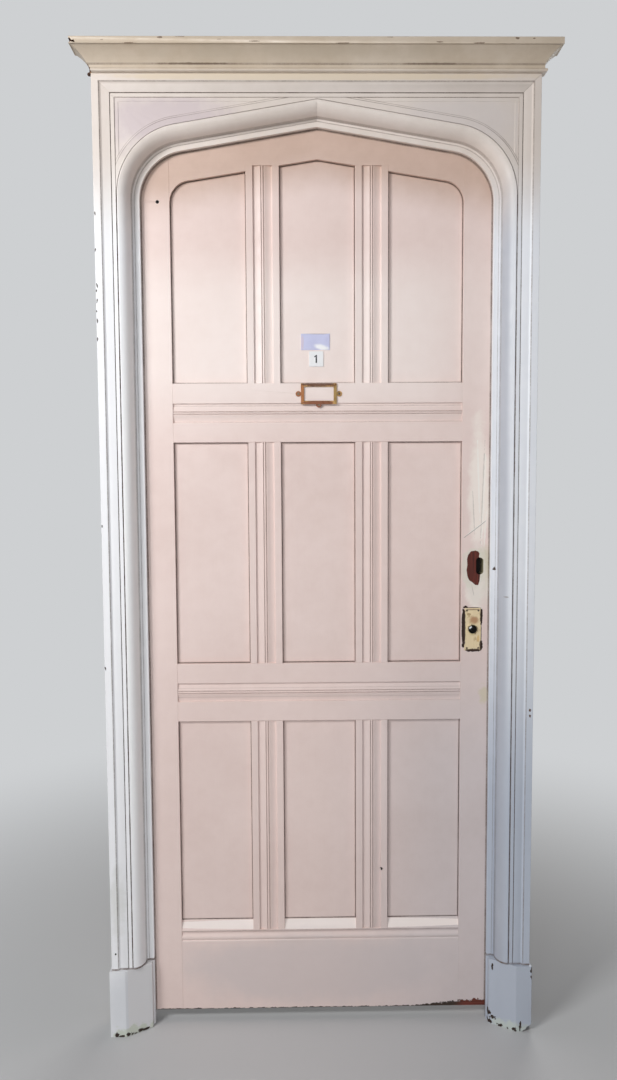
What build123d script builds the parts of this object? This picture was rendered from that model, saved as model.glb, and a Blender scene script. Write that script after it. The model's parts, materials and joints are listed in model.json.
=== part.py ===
"""
A panelled front door hung in its arched and moulded timber frame.

X runs across the door, Y from the outside inwards and Z up, in millimetres.
The origin is on the floor, in the middle of the assembly's own box.
The leaf swings inwards on three butt hinges at its left edge, seen from outside.
"""
import math
import os

from build123d import *

os.makedirs("parts", exist_ok=True)

# The leaf
leaf_width = 840
leaf_thickness = 44.5
floor_gap = 27
running_gap = 3
stile_width = 76
muntin_width = 78
bottom_rail_top = 255
lock_rail_drop = 79.5
lock_rail_height = 142.5
upper_rail_foot = 1434.5
upper_rail_height = 139
rail_corner = 40

# The panels and how they sit in their grooves
panel_cover = 112.5
panel_pitch = math.atan(0.16)
panel_corner_radius = 50
panel_recess = 9
panel_thickness = 20
panel_reveal = 1.2
tongue_reach = 9
tongue_thickness = 8
groove_depth = 10
groove_play = 0.1

# Mortice and tenon joints
tenon_thickness = 14
tenon_shoulder = 15
rail_tenon = 50
muntin_tenon = 30
top_tenon_height = 34
top_tenon_rise = 38
top_tenon = 40

# The moulded band worked on muntins and rails: two hollows either side of a bead
band_width = 45
band_depth = 5
band_lip = 0.8
bead_width = 5
bead_drop = 3
bead_crown = 0.5
bead_quirk = 1.5
cutter_rise = 1

# The weathered foot of the lower panels and the bead under it
weathering_height = 25
muntin_foot_drop = 24
foot_hollow_top = 2
foot_hollow_height = 11
foot_hollow_depth = 4
foot_bead_height = 12
foot_bead_drop = 2.5
foot_quirk = 2.5

# The frame, across its face from the clear opening outwards
lap = 9
stop_reveal = 12
roll_width = 33
inner_band = 9
band_quirk = 1.5
middle_band = 18.5
splay_width = 5
outer_band = 16

# The frame, from its outer face inwards
middle_depth = 4
inner_depth = 4.5
spandrel_margin = 13
spandrel_margin_depth = 5.5
spandrel_step = 4
spandrel_border = 8
spandrel_border_depth = 6.4
spandrel_depth = 7.3
quirk_sink = 3
roll_front = 4
roll_side = 38
roll_quirk = 1.5
roll_quirk_depth = 8
roll_fillet_front = 42.5
roll_fillet_width = 5.5
stop_front = 44
stop_thickness = 12
stop_clearance = 1.5

# Heights of the frame
head_height = 2253
arch_gap = 2
arch_pitch = math.atan(0.17)
arch_corner_radius = 158
plinth_height = 165
post_tenon = 40
post_tenon_width = 50
post_tenon_thickness = 20

# Cornice and bed mould
bed_height = 7.5
bed_projection = 10.5
bed_quirk = 0.8
cornice_height = 52.5
cornice_projection = 38
cornice_foot_fillet = 7.5
cornice_foot_projection = 5.5
cornice_top_fillet = 15
cornice_drip = 4
cornice_hollow = 0.44
cornice_return_depth = 54

# Plinth blocks
plinth_proud = 5
plinth_flat = 38
plinth_inner_depth = 30
plinth_inner_reach = 3

# Butt hinges
hinge_bottom_height = 240
hinge_top_drop = 190
hinge_length = 100
hinge_plate_width = 34
hinge_plate_thickness = 2.5
knuckle_radius = 6
knuckle_count = 5
knuckle_play = 0.3
knuckle_clearance = 0.5
pin_radius = 3
pin_play = 0.05
pin_tip = 3
pin_head = 4.5
hinge_screw_rows = (-38, -14, 14, 38)
hinge_screw_inset = 13

# Countersunk screws
screw_shank = 2
screw_hole_play = 0.1
screw_head = 3.8
screw_sink = 1.9
screw_length = 24
plate_screw_shank = 1.2
plate_screw_head = 2.6
plate_screw_length = 14
card_screw_shank = 1.4
card_screw_head = 3.4
card_screw_length = 16

# Mortice lock
knob_height = 981
backset = 47.5
case_depth = 61.5
case_height = 90
case_thickness = 16
case_wall = 1.5
forend_thickness = 2
forend_width = 22
forend_height = 124
forend_screw_inset = 8
latch_offset = 16
latch_height = 20
latch_thickness = 12
latch_head = 18
latch_bevel = 9
latch_bevel_land = 2
latch_play = 0.1
tail_height = 10.5
tail_thickness = 6
tail_rear = 11
tail_drop = 3.5
hub_radius = 9
hub_journal = 7
hub_play = 0.05
hub_side_play = 0.3
spindle_square = 8
arm_radius = 16
arm_tip = 2.5
arm_width = 3
arm_thickness = 5
arm_play = 0.7
arm_swing = 40

# Strike plate and its pocket in the post
strike_height = 90
strike_width = 22
strike_thickness = 2
strike_clearance = 1
strike_pocket_depth = 16
strike_screw_inset = 8

# Wall fixings through the posts
fixing_foot = 120
fixing_top_drop = 310
fixing_count = 4
fixing_radius = 4
fixing_sink = 8

# Furniture on the face of the leaf
plate_width = 40
plate_height = 104
plate_thickness = 2
plate_collar = 15
plate_collar_rise = 1.5
spindle_hole = 10.5
plate_screw_inset = 6
plate_rounding = 2
plate_collar_taper = 20
cylinder_offset = 16.5
cylinder_rise = 154
cylinder_hole_width = 17
cylinder_hole_height = 41
cylinder_hole_depth = 34
torn_patch_depth = 1.2
torn_patch = (
    (-10.5, -46), (-3.6, -46.4), (-0.5, -36), (0.5, -25), (1, -13), (1, 13), (-2.4, 23.5), (-1, 30), (-4, 35),
    (-10.5, 37.4), (-22, 35.5), (-28.4, 27), (-31, 17), (-30, 3), (-32, -10), (-29.3, -26.4), (-25.3, -34.5),
    (-17.3, -40),
)
card_x = 2
card_top_drop = 0.9
card_width = 85
card_height = 49
card_thickness = 3.5
card_window_width = 70
card_window_height = 33
card_pocket_width = 77
card_pocket_height = 41
card_pocket_depth = 2
card_ear_radius = 6.5
card_ear_thickness = 2
card_ear_reach = 6
card_ear_drop = 1.2
name_plate_width = 68
name_plate_height = 38
name_plate_rise = 78.5
name_plate_x = -5.5
name_plate_thickness = 1.5
number_width = 34
number_height = 36
number_rise = 39.5
number_x = -3.5
number_thickness = 2
number_rounding = 2
numeral_height = 18.8
numeral_stroke = 3.4
numeral_flag = 4.6
numeral_relief = 0.4

# Small holes left in the painted face
old_hole_radius = 2.6
old_hole_depth = 12
stile_hole_inset = 48
stile_hole_rise = 2
muntin_hole_offset = 25
muntin_hole_height = 383.5

# Broken corners, as outlines across the front from a corner of the frame, in X and Z
plinth_break = ((-20, -1), (-15, 3), (-9, 6), (-6, 12), (0, 15), (6, 20), (6, -1))
plinth_break_depth = 34
break_taper = 4
bed_break = ((-12, -1), (4, -1), (1, 3), (2.5, 8), (-2, 11), (-3, 16), (-12, 17))
bed_break_depth = 24
cornice_break = ((-39, 46), (-32, 48), (-23, 46), (-26, 52), (-31, 51), (-35, 56), (-39, 55))
cornice_break_depth = 9

# Sizes that follow from those above
leaf_half = leaf_width / 2
rebate_half = leaf_half + running_gap
stop_half = leaf_half - lap
roll_line = stop_half + stop_reveal + roll_width
casing_width = inner_band + band_quirk + middle_band + splay_width + outer_band
frame_half = roll_line + casing_width
stile_inner = leaf_half - stile_width
panel_width = (2 * stile_inner - 2 * muntin_width) / 3
muntin_x = (panel_width + muntin_width) / 2
lock_rail_top = knob_height - lock_rail_drop
lock_rail_foot = lock_rail_top - lock_rail_height
upper_rail_top = upper_rail_foot + upper_rail_height
frame_depth = stop_front + stop_thickness + stop_clearance + leaf_thickness
frame_top = head_height + bed_height + cornice_height
arch_apex = head_height - casing_width - arch_gap
panel_apex = arch_apex - panel_cover

# Planes across the depth, with the box's middle at Y = 0
y_front = (cornice_projection - frame_depth - 2 * knuckle_radius) / 2
y_post = y_front + stop_front + stop_thickness
y_leaf = y_post + stop_clearance
y_back = y_leaf + leaf_thickness
y_panel = y_leaf + panel_recess
y_tongue = y_panel + panel_thickness / 2
y_lock = y_leaf + leaf_thickness / 2
y_knuckle = y_back + knuckle_radius
x_knuckle = -(leaf_half + running_gap / 2)

# The arch springs where its corner curve meets the post
arch_turn = 90 - math.degrees(arch_pitch)
springing = (
    arch_apex
    - (roll_line - arch_corner_radius * (1 - math.sin(arch_pitch))) * math.tan(arch_pitch)
    - arch_corner_radius * math.cos(arch_pitch)
)

hinge_top_height = springing - hinge_top_drop
hinge_heights = (hinge_bottom_height, (hinge_bottom_height + hinge_top_height) / 2, hinge_top_height)
fixing_spacing = (springing - fixing_top_drop - fixing_foot) / (fixing_count - 1)

rows = (
    (bottom_rail_top, lock_rail_foot),
    (lock_rail_top, upper_rail_foot),
    (upper_rail_top, panel_apex),
)
columns = (-1, 0, 1)
row_names = ("lower", "middle", "upper")
column_names = ("left", "centre", "right")


def face_plane(y):
    """Upright plane at depth y, with local X and Y along the door's X and Z."""
    return Plane.XZ.offset(-y)


def save(piece, name):
    """Label a finished piece and write it out."""
    piece.label = name
    export_step(piece, f"parts/{name}.step")


# Outlines shared by several pieces


def arch_region(inset, foot):
    """Everything under the arch line moved inwards by inset, down to foot, in X and Z."""
    half = roll_line - inset
    radius = arch_corner_radius - inset
    apex = arch_apex - inset / math.cos(arch_pitch)
    with BuildSketch() as region:
        with BuildLine():
            left = CenterArc((radius - half, springing), radius, 180, -arch_turn)
            right = CenterArc((half - radius, springing), radius, 0, arch_turn)
            Polyline(left @ 1, (0, apex), right @ 1)
            Polyline(left @ 0, (-half, foot), (half, foot), right @ 0)
        make_face()
    return region.sketch


def panel_line(x):
    """Height of the sloping line over the upper panels."""
    return panel_apex - abs(x) * math.tan(panel_pitch)


def opening(column, row, grow):
    """Opening for one panel, in X and Z, grown outwards all round."""
    foot, top = rows[row]
    middle = column * (panel_width + muntin_width)
    left = middle - panel_width / 2
    right = middle + panel_width / 2
    with BuildSketch() as hole:
        if row < 2:
            with Locations((middle, (foot + top) / 2)):
                Rectangle(panel_width, top - foot)
        elif column == 0:
            with BuildLine():
                Polyline(
                    (left, foot), (left, panel_line(left)), (0, panel_apex),
                    (right, panel_line(right)), (right, foot), close=True,
                )
            make_face()
        else:
            outer = column * stile_inner
            inner = outer - column * panel_width
            reach = outer - column * panel_corner_radius
            shoulder = reach + column * panel_corner_radius * math.sin(panel_pitch)
            shoulder_z = panel_line(shoulder)
            spring_z = shoulder_z - panel_corner_radius * math.cos(panel_pitch)
            half_turn = math.radians(45) + panel_pitch / 2
            crown_x = reach + column * panel_corner_radius * math.cos(math.pi / 2 - half_turn)
            crown_z = spring_z + panel_corner_radius * math.sin(math.pi / 2 - half_turn)
            with BuildLine():
                ThreePointArc((outer, spring_z), (crown_x, crown_z), (shoulder, shoulder_z))
                Polyline(
                    (shoulder, shoulder_z), (inner, panel_line(inner)),
                    (inner, foot), (outer, foot), (outer, spring_z),
                )
            make_face()
        if grow:
            offset(amount=grow, kind=Kind.INTERSECTION)
    return hole.sketch


muntin_top = panel_line(panel_width / 2)
muntin_foot = bottom_rail_top - muntin_foot_drop
muntin_spans = (
    (muntin_foot, lock_rail_foot),
    (lock_rail_top, upper_rail_foot),
    (upper_rail_top, muntin_top),
)


def moulded_band(plane, run):
    """Cutter for the moulded band: local X across it, local Y into the wood."""
    edge = band_width / 2
    bead = bead_width / 2
    lip = bead + bead_quirk
    sag = band_lip + (band_depth - band_lip) * 0.75
    middle = (edge + lip) / 2
    with BuildPart() as cutter:
        with BuildSketch(plane):
            with BuildLine():
                Polyline(
                    (lip, band_lip), (bead + bead_quirk / 2, bead_drop + bead_crown), (bead, bead_drop),
                )
                ThreePointArc((bead, bead_drop), (0, bead_crown), (-bead, bead_drop))
                Polyline(
                    (-bead, bead_drop), (-bead - bead_quirk / 2, bead_drop + bead_crown), (-lip, band_lip),
                )
                ThreePointArc((-lip, band_lip), (-middle, sag), (-edge, band_depth))
                Polyline((-edge, band_depth), (-edge, -cutter_rise), (edge, -cutter_rise), (edge, band_depth))
                ThreePointArc((edge, band_depth), (middle, sag), (lip, band_lip))
            make_face()
        extrude(amount=run)
    return cutter.part


def grooves(neighbours):
    """Cutter for the panel grooves round the openings given as (column, row)."""
    width = tongue_thickness + 2 * groove_play
    with BuildPart() as cutter:
        for column, row in neighbours:
            with BuildSketch(face_plane(y_tongue + width / 2)):
                add(opening(column, row, groove_depth))
            extrude(amount=width)
    return cutter.part


def facing(origin, normal):
    """Location for a screw or hole: its head at origin, its tail away from normal."""
    across = (0, 1, 0) if abs(normal[1]) < 0.5 else (1, 0, 0)
    return Plane(origin=origin, x_dir=across, z_dir=normal).location


def screws(places, head=screw_head, shank=screw_shank, length=screw_length):
    """Countersunk screws, one solid at each place."""
    with BuildPart() as group:
        with Locations(*places):
            Cone(shank, head, screw_sink, align=(Align.CENTER, Align.CENTER, Align.MAX))
            Cylinder(shank, length, align=(Align.CENTER, Align.CENTER, Align.MAX))
    return group.part


def pilot_holes(places, shank=screw_shank, length=screw_length):
    """Cutter for the wood round the screws at these places."""
    with BuildPart() as group:
        with Locations(*places):
            Cylinder(shank, length, align=(Align.CENTER, Align.CENTER, Align.MAX))
    return group.part


def plate_holes(places, head=screw_head, shank=screw_shank, length=screw_length):
    """Cutter for the countersunk holes of a plate at these places."""
    with BuildPart() as group:
        with Locations(*places):
            Cone(shank, head, screw_sink, align=(Align.CENTER, Align.CENTER, Align.MAX))
            Cylinder(shank + screw_hole_play, length, align=(Align.CENTER, Align.CENTER, Align.MAX))
    return group.part


# Where the screws go

hinge_screw_y = y_back - hinge_plate_width + hinge_screw_inset
x_frame_plate = -rebate_half
x_leaf_plate = -leaf_half
frame_hinge_places = [
    facing((x_frame_plate, hinge_screw_y, z + row), (1, 0, 0))
    for z in hinge_heights
    for row in hinge_screw_rows
]
leaf_hinge_places = [
    facing((x_leaf_plate, hinge_screw_y, z + row), (-1, 0, 0))
    for z in hinge_heights
    for row in hinge_screw_rows
]
latch_z = knob_height + latch_offset
strike_places = [
    facing((rebate_half, y_lock, latch_z + side * (strike_height / 2 - strike_screw_inset)), (-1, 0, 0))
    for side in (-1, 1)
]
forend_places = [
    facing((leaf_half, y_lock, knob_height + side * (forend_height / 2 - forend_screw_inset)), (1, 0, 0))
    for side in (-1, 1)
]
knob_x = leaf_half - backset
cylinder_x = knob_x + cylinder_offset
cylinder_z = knob_height + cylinder_rise
y_plate = y_leaf - plate_thickness
plate_places = [
    facing(
        (
            knob_x + across * (plate_width / 2 - plate_screw_inset),
            y_plate,
            knob_height + up * (plate_height / 2 - plate_screw_inset),
        ),
        (0, -1, 0),
    )
    for across in (-1, 1)
    for up in (-1, 1)
]
card_foot = upper_rail_top - card_top_drop - card_height
ear_x = card_width / 2 + card_ear_reach
ear_z = card_foot + card_height / 2
y_ear = y_leaf - card_ear_thickness
card_places = [
    facing((card_x - ear_x, y_ear, ear_z), (0, -1, 0)),
    facing((card_x + ear_x, y_ear, ear_z), (0, -1, 0)),
    facing((card_x, y_ear, card_foot - card_ear_drop), (0, -1, 0)),
]
fixing_heights = [fixing_foot + fixing_spacing * step for step in range(fixing_count)]


# The posts and the arched head behind the mouldings


def post(side):
    """Rebated post with its top tenon, wall fixings and the housings of its ironwork."""
    with BuildPart() as timber:
        with BuildSketch():
            with Locations((side * (rebate_half + frame_half) / 2, (y_post + y_back) / 2)):
                Rectangle(frame_half - rebate_half, y_back - y_post)
        extrude(amount=springing)
        with BuildSketch(Plane.XY.offset(springing)):
            with Locations((side * (rebate_half + frame_half) / 2, (y_post + y_back) / 2)):
                Rectangle(post_tenon_width, post_tenon_thickness)
        extrude(amount=post_tenon)
        places = [
            facing((side * rebate_half, (y_post + y_back) / 2, z), (-side, 0, 0)) for z in fixing_heights
        ]
        with Locations(*places):
            CounterSinkHole(fixing_radius, fixing_sink, frame_half - rebate_half + 1)
        if side < 0:
            depth = hinge_plate_thickness
            for z in hinge_heights:
                with Locations((-rebate_half, y_back, z)):
                    Box(2 * depth, 2 * hinge_plate_width, hinge_length, mode=Mode.SUBTRACT)
            add(pilot_holes(frame_hinge_places), mode=Mode.SUBTRACT)
        else:
            with Locations((rebate_half, y_lock, latch_z)):
                Box(2 * strike_thickness, strike_width, strike_height, mode=Mode.SUBTRACT)
                Box(
                    2 * (strike_thickness + strike_pocket_depth),
                    latch_thickness + 4 * strike_clearance,
                    latch_height + 4 * strike_clearance,
                    mode=Mode.SUBTRACT,
                )
            add(pilot_holes(strike_places), mode=Mode.SUBTRACT)
    return timber.part


save(post(-1), "post_left")
save(post(1), "post_right")

with BuildPart() as arched_head:
    with BuildSketch(face_plane(y_back)):
        with Locations((0, (springing + frame_top) / 2)):
            Rectangle(2 * frame_half, frame_top - springing)
        add(arch_region(roll_line - rebate_half, springing - rail_corner), mode=Mode.SUBTRACT)
    extrude(amount=y_back - y_post)
    with Locations(
        (-(rebate_half + frame_half) / 2, (y_post + y_back) / 2, springing),
        ((rebate_half + frame_half) / 2, (y_post + y_back) / 2, springing),
    ):
        Box(
            post_tenon_width, post_tenon_thickness, post_tenon,
            align=(Align.CENTER, Align.CENTER, Align.MIN), mode=Mode.SUBTRACT,
        )
save(arched_head.part, "arched_head")

with BuildPart() as cornice_ground:
    with BuildSketch(face_plane(y_post)):
        with Locations((0, (head_height + frame_top) / 2)):
            Rectangle(2 * frame_half, frame_top - head_height)
    extrude(amount=y_post - y_front)
save(cornice_ground.part, "cornice_ground")


# The stepped casing: outer, middle and inner bands, mitred at the head


def casing_points():
    """Section of the casing as (in from its outer edge, back from the face)."""
    splay = outer_band + splay_width
    quirk = splay + middle_band
    depth = y_post - y_front
    return [
        (0, depth), (0, 0), (outer_band, 0), (splay, middle_depth), (quirk, middle_depth),
        (quirk, middle_depth + quirk_sink), (quirk + band_quirk, middle_depth + quirk_sink),
        (quirk + band_quirk, inner_depth), (casing_width, inner_depth), (casing_width, depth),
    ]


def casing_mitre(side, up):
    """Plane of the mitre at a top corner, its normal towards the head (up 1) or the upright (-1)."""
    return Plane(origin=(side * frame_half, 0, head_height), x_dir=(0, 1, 0), z_dir=(-side * up, 0, up))


def casing_side(side):
    """Upright length of casing, standing on its plinth block."""
    with BuildPart() as casing:
        with BuildSketch(Plane.XY.offset(plinth_height)):
            with BuildLine():
                Polyline(
                    *[(side * (frame_half - across), y_front + back) for across, back in casing_points()],
                    close=True,
                )
            make_face()
        extrude(amount=head_height - plinth_height)
        split(bisect_by=casing_mitre(side, -1), keep=Keep.TOP)
    return casing.part


save(casing_side(-1), "casing_left")
save(casing_side(1), "casing_right")

with BuildPart() as casing_head:
    with BuildSketch(Plane.YZ.offset(-frame_half)):
        with BuildLine():
            Polyline(
                *[(y_front + back, head_height - across) for across, back in casing_points()],
                close=True,
            )
        make_face()
    extrude(amount=2 * frame_half)
    split(bisect_by=casing_mitre(-1, 1), keep=Keep.TOP)
    split(bisect_by=casing_mitre(1, 1), keep=Keep.TOP)
save(casing_head.part, "casing_head")


# The spandrels: sunk boards between the casing and the arch


def spandrel(side):
    """Board filling one upper corner, cut to the arch, its field sunk in two steps inside a flat margin."""
    top = head_height - casing_width
    foot = springing - rail_corner
    with BuildPart() as board:
        with BuildSketch(face_plane(y_post)):
            with Locations((side * roll_line / 2, (springing + top) / 2)):
                Rectangle(roll_line, top - springing)
            add(arch_region(0, foot), mode=Mode.SUBTRACT)
        extrude(amount=y_post - y_front - spandrel_margin_depth)
        for border, margin, depth in (
            (0, spandrel_margin, spandrel_border_depth),
            (spandrel_border, spandrel_margin + spandrel_step, spandrel_depth),
        ):
            with BuildSketch(face_plane(y_front + depth)):
                with Locations((side * (roll_line - border) / 2, (springing + top - border) / 2)):
                    Rectangle(roll_line - border, top - border - springing)
                add(arch_region(-margin, foot), mode=Mode.SUBTRACT)
            extrude(amount=depth, mode=Mode.SUBTRACT)
    return board.part


save(spandrel(-1), "spandrel_left")
save(spandrel(1), "spandrel_right")


# The roll moulding and the stop: upright to the springing, then bent round the arch


def roll_section(plane):
    """Section of the left roll moulding, in X and Y, convex towards the opening."""
    outer = -roll_line
    crown = outer + roll_quirk
    inner = outer + roll_width
    fillet = inner - roll_fillet_width
    y_centre = y_front + roll_side
    y_base = y_front + stop_front
    with BuildSketch(plane) as section:
        with BuildLine():
            curve = EllipticalCenterArc(
                (crown, y_centre), fillet - crown, roll_side - roll_front, start_angle=270, arc_size=90,
            )
            Polyline(
                curve @ 1, (fillet, y_front + roll_fillet_front), (inner, y_front + roll_fillet_front),
                (inner, y_base), (outer, y_base), (outer, y_front + roll_quirk_depth),
                (crown, y_front + roll_quirk_depth), curve @ 0,
            )
        make_face()
    return section.sketch


def stop_section(plane):
    """Section of the left stop board, in X and Y."""
    with BuildSketch(plane) as section:
        with Locations((-(roll_line + stop_half) / 2, y_post - stop_thickness / 2)):
            Rectangle(roll_line - stop_half, stop_thickness)
    return section.sketch


def half_arch(section):
    """Sweep a left-hand section from the springing round to a mitre over the middle."""
    with BuildPart() as moulding:
        with BuildLine(Plane.XZ):
            bend = CenterArc((arch_corner_radius - roll_line, springing), arch_corner_radius, 180, -arch_turn)
            tail = Line(bend @ 1, (roll_width, arch_apex + roll_width * math.tan(arch_pitch)))
            path = Wire([bend, tail])
        sweep(sections=section, path=path)
        split(bisect_by=Plane.YZ, keep=Keep.BOTTOM)
    return moulding.part


def upright(section, foot):
    """Straight length of a left-hand section from foot to the springing."""
    with BuildPart() as moulding:
        extrude(section, amount=springing - foot)
    return moulding.part


def save_pair(piece, name):
    """Write a left-hand piece and its mirror image."""
    save(mirror(piece, about=Plane.YZ), f"{name}_right")
    save(piece, f"{name}_left")


save_pair(upright(roll_section(Plane.XY.offset(plinth_height)), plinth_height), "roll_upright")
save_pair(half_arch(roll_section(Plane.XY.offset(springing))), "roll_arch")
save_pair(upright(stop_section(Plane.XY), 0), "stop_upright")
save_pair(half_arch(stop_section(Plane.XY.offset(springing))), "stop_arch")


# Broken corners, and the plinth blocks


def broken(corner, outline, y, depth):
    """Cutter for a broken corner: an outline set at it, cut from y inwards and closing as it goes."""
    points = [(corner[0] + across, corner[1] + up) for across, up in outline]
    with BuildPart() as cutter:
        with BuildSketch(face_plane(y)) as mark:
            with BuildLine():
                Polyline(*points, close=True)
            make_face()
        extrude(amount=-depth, taper=break_taper)
        extrude(mark.sketch, amount=1)
    return cutter.part


with BuildPart() as plinth:
    with BuildSketch():
        with BuildLine():
            Polyline(
                (-frame_half - plinth_proud, y_front - plinth_proud),
                (-frame_half - plinth_proud + plinth_flat, y_front - plinth_proud),
                (-stop_half - plinth_inner_reach, y_front + plinth_inner_depth),
                (-stop_half - plinth_inner_reach, y_front + stop_front),
                (-roll_line, y_front + stop_front),
                (-roll_line, y_post),
                (-frame_half - plinth_proud, y_post),
                close=True,
            )
        make_face()
    extrude(amount=plinth_height)
save(plinth.part, "plinth_left")

with BuildPart() as plinth_broken:
    add(mirror(plinth.part, about=Plane.YZ))
    add(broken((frame_half, 0), plinth_break, y_front - plinth_proud, plinth_break_depth), mode=Mode.SUBTRACT)
save(plinth_broken.part, "plinth_right")


# The cornice, worked with its bed bead: a length across the front and a mitred return at each side


def cornice_section(place):
    """Section of the cornice; place turns (out from the frame, up from the head) into sketch coordinates."""
    bead_foot = bed_projection - bed_height / 2
    hollow_foot = bed_height + bed_quirk + cornice_foot_fillet
    hollow_top = bed_height + cornice_height - cornice_top_fillet
    hollow_in = cornice_foot_projection - bed_quirk
    hollow_out = cornice_projection - cornice_drip
    middle_out = hollow_in + (hollow_out - hollow_in) * cornice_hollow
    middle_up = hollow_top - (hollow_top - hollow_foot) * cornice_hollow
    with BuildSketch() as section:
        with BuildLine():
            Polyline(place(bead_foot, 0), place(0, 0), place(0, frame_top - head_height))
            Polyline(
                place(0, frame_top - head_height), place(cornice_projection, frame_top - head_height),
                place(cornice_projection, hollow_top), place(hollow_out, hollow_top),
            )
            ThreePointArc(
                place(hollow_out, hollow_top), place(middle_out, middle_up), place(hollow_in, hollow_foot),
            )
            Polyline(
                place(hollow_in, hollow_foot), place(cornice_foot_projection, hollow_foot),
                place(cornice_foot_projection, bed_height + bed_quirk),
                place(bead_foot, bed_height + bed_quirk), place(bead_foot, bed_height),
            )
            ThreePointArc(
                place(bead_foot, bed_height), place(bed_projection, bed_height / 2), place(bead_foot, 0),
            )
        make_face()
    return section.sketch


def cornice_mitre(side, front):
    """Upright plane of a cornice mitre, its normal towards the front length (1) or the return (-1)."""
    return Plane(origin=(side * frame_half, y_front, 0), x_dir=(0, 0, 1), z_dir=(-side * front, -front, 0))


cornice_corner = (-frame_half, head_height)
with BuildPart() as breaks:
    add(broken(cornice_corner, bed_break, y_front - bed_projection, bed_break_depth))
    add(broken(cornice_corner, cornice_break, y_front - cornice_projection, cornice_break_depth))
cornice_breaks = breaks.part

with BuildPart() as cornice_front:
    with BuildSketch(Plane.YZ.offset(-frame_half - cornice_projection)):
        add(cornice_section(lambda out, up: (y_front - out, head_height + up)))
    extrude(amount=2 * (frame_half + cornice_projection))
    split(bisect_by=cornice_mitre(-1, 1), keep=Keep.TOP)
    split(bisect_by=cornice_mitre(1, 1), keep=Keep.TOP)
    add(cornice_breaks, mode=Mode.SUBTRACT)
save(cornice_front.part, "cornice_front")

with BuildPart() as cornice_return:
    with BuildSketch(face_plane(y_front - cornice_projection + cornice_return_depth)):
        add(cornice_section(lambda out, up: (-frame_half - out, head_height + up)))
    extrude(amount=cornice_return_depth)
    split(bisect_by=cornice_mitre(-1, -1), keep=Keep.TOP)
save(mirror(cornice_return.part, about=Plane.YZ), "cornice_return_right")

with BuildPart() as cornice_return_broken:
    add(cornice_return.part)
    add(cornice_breaks, mode=Mode.SUBTRACT)
save(cornice_return_broken.part, "cornice_return_left")


# The leaf's stiles, rails and muntins


def leaf_board(left, right, foot, top, openings):
    """Board of the leaf between these edges, under the arch, with the openings cut away."""
    with BuildPart() as board:
        with BuildSketch(face_plane(y_back)):
            add(arch_region(roll_line - leaf_half, floor_gap))
            with Locations(((left + right) / 2, (foot + top) / 2)):
                Rectangle(right - left, top - foot, mode=Mode.INTERSECT)
            for column, row in openings:
                add(opening(column, row, 0), mode=Mode.SUBTRACT)
        extrude(amount=leaf_thickness)
    return board.part


def tenons(places, length, height):
    """Tenons or mortices as (x, z) of their middles, with these sizes along X and Z."""
    with BuildPart() as blocks:
        with Locations(*[(x, y_tongue, z) for x, z in places]):
            Box(length, tenon_thickness, height)
    return blocks.part


rail_spans = ((floor_gap, muntin_foot), (lock_rail_foot, lock_rail_top), (upper_rail_foot, upper_rail_top))
top_tenon_z = springing + top_tenon_rise + top_tenon_height / 2


def stile(side):
    """Plain stile with its panel grooves and the mortices of the rails."""
    edges = sorted((side * stile_inner, side * leaf_half))
    with BuildPart() as timber:
        add(leaf_board(edges[0], edges[1], floor_gap, arch_apex, []))
        add(grooves([(side, row) for row in range(3)]), mode=Mode.SUBTRACT)
        for foot, top in rail_spans:
            place = (side * stile_inner, (foot + top) / 2)
            add(tenons([place], 2 * rail_tenon, top - foot - 2 * tenon_shoulder), mode=Mode.SUBTRACT)
        add(tenons([(side * stile_inner, top_tenon_z)], 2 * top_tenon, top_tenon_height), mode=Mode.SUBTRACT)
    return timber.part


def muntin_mortices(height):
    """Mortices for the tenons of both muntins, sunk either side of this height."""
    places = [(-muntin_x, height), (muntin_x, height)]
    return tenons(places, muntin_width - 2 * tenon_shoulder, 2 * muntin_tenon)


def middle_rail(foot, top, lower_row):
    """Rail between two rows of panels, with the moulded band along its middle."""
    with BuildPart() as timber:
        add(leaf_board(-stile_inner, stile_inner, foot, top, []))
        add(tenons([(0, (foot + top) / 2)], 2 * (stile_inner + rail_tenon), top - foot - 2 * tenon_shoulder))
        for row in (lower_row, lower_row + 1):
            add(grooves([(column, row) for column in columns]), mode=Mode.SUBTRACT)
        add(muntin_mortices(foot), mode=Mode.SUBTRACT)
        add(muntin_mortices(top), mode=Mode.SUBTRACT)
        across = Plane(origin=(-stile_inner, y_leaf, (foot + top) / 2), x_dir=(0, 0, -1), z_dir=(1, 0, 0))
        add(moulded_band(across, 2 * stile_inner), mode=Mode.SUBTRACT)
    return timber.part


def hole(x, y, z, radius, depth):
    """Cutter for a round hole drilled from the front at depth y."""
    with BuildPart() as cutter:
        with BuildSketch(face_plane(y + depth)):
            with Locations((x, z)):
                Circle(radius)
        extrude(amount=depth)
    return cutter.part


with BuildPart() as stile_hinge:
    add(stile(-1))
    for height in hinge_heights:
        with Locations((-leaf_half, y_back, height)):
            Box(2 * hinge_plate_thickness, 2 * hinge_plate_width, hinge_length, mode=Mode.SUBTRACT)
    add(pilot_holes(leaf_hinge_places), mode=Mode.SUBTRACT)
    across = stile_hole_inset - leaf_half
    up = springing + stile_hole_rise
    add(hole(across, y_leaf, up, old_hole_radius, old_hole_depth), mode=Mode.SUBTRACT)
save(stile_hinge.part, "stile_hinge")

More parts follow.
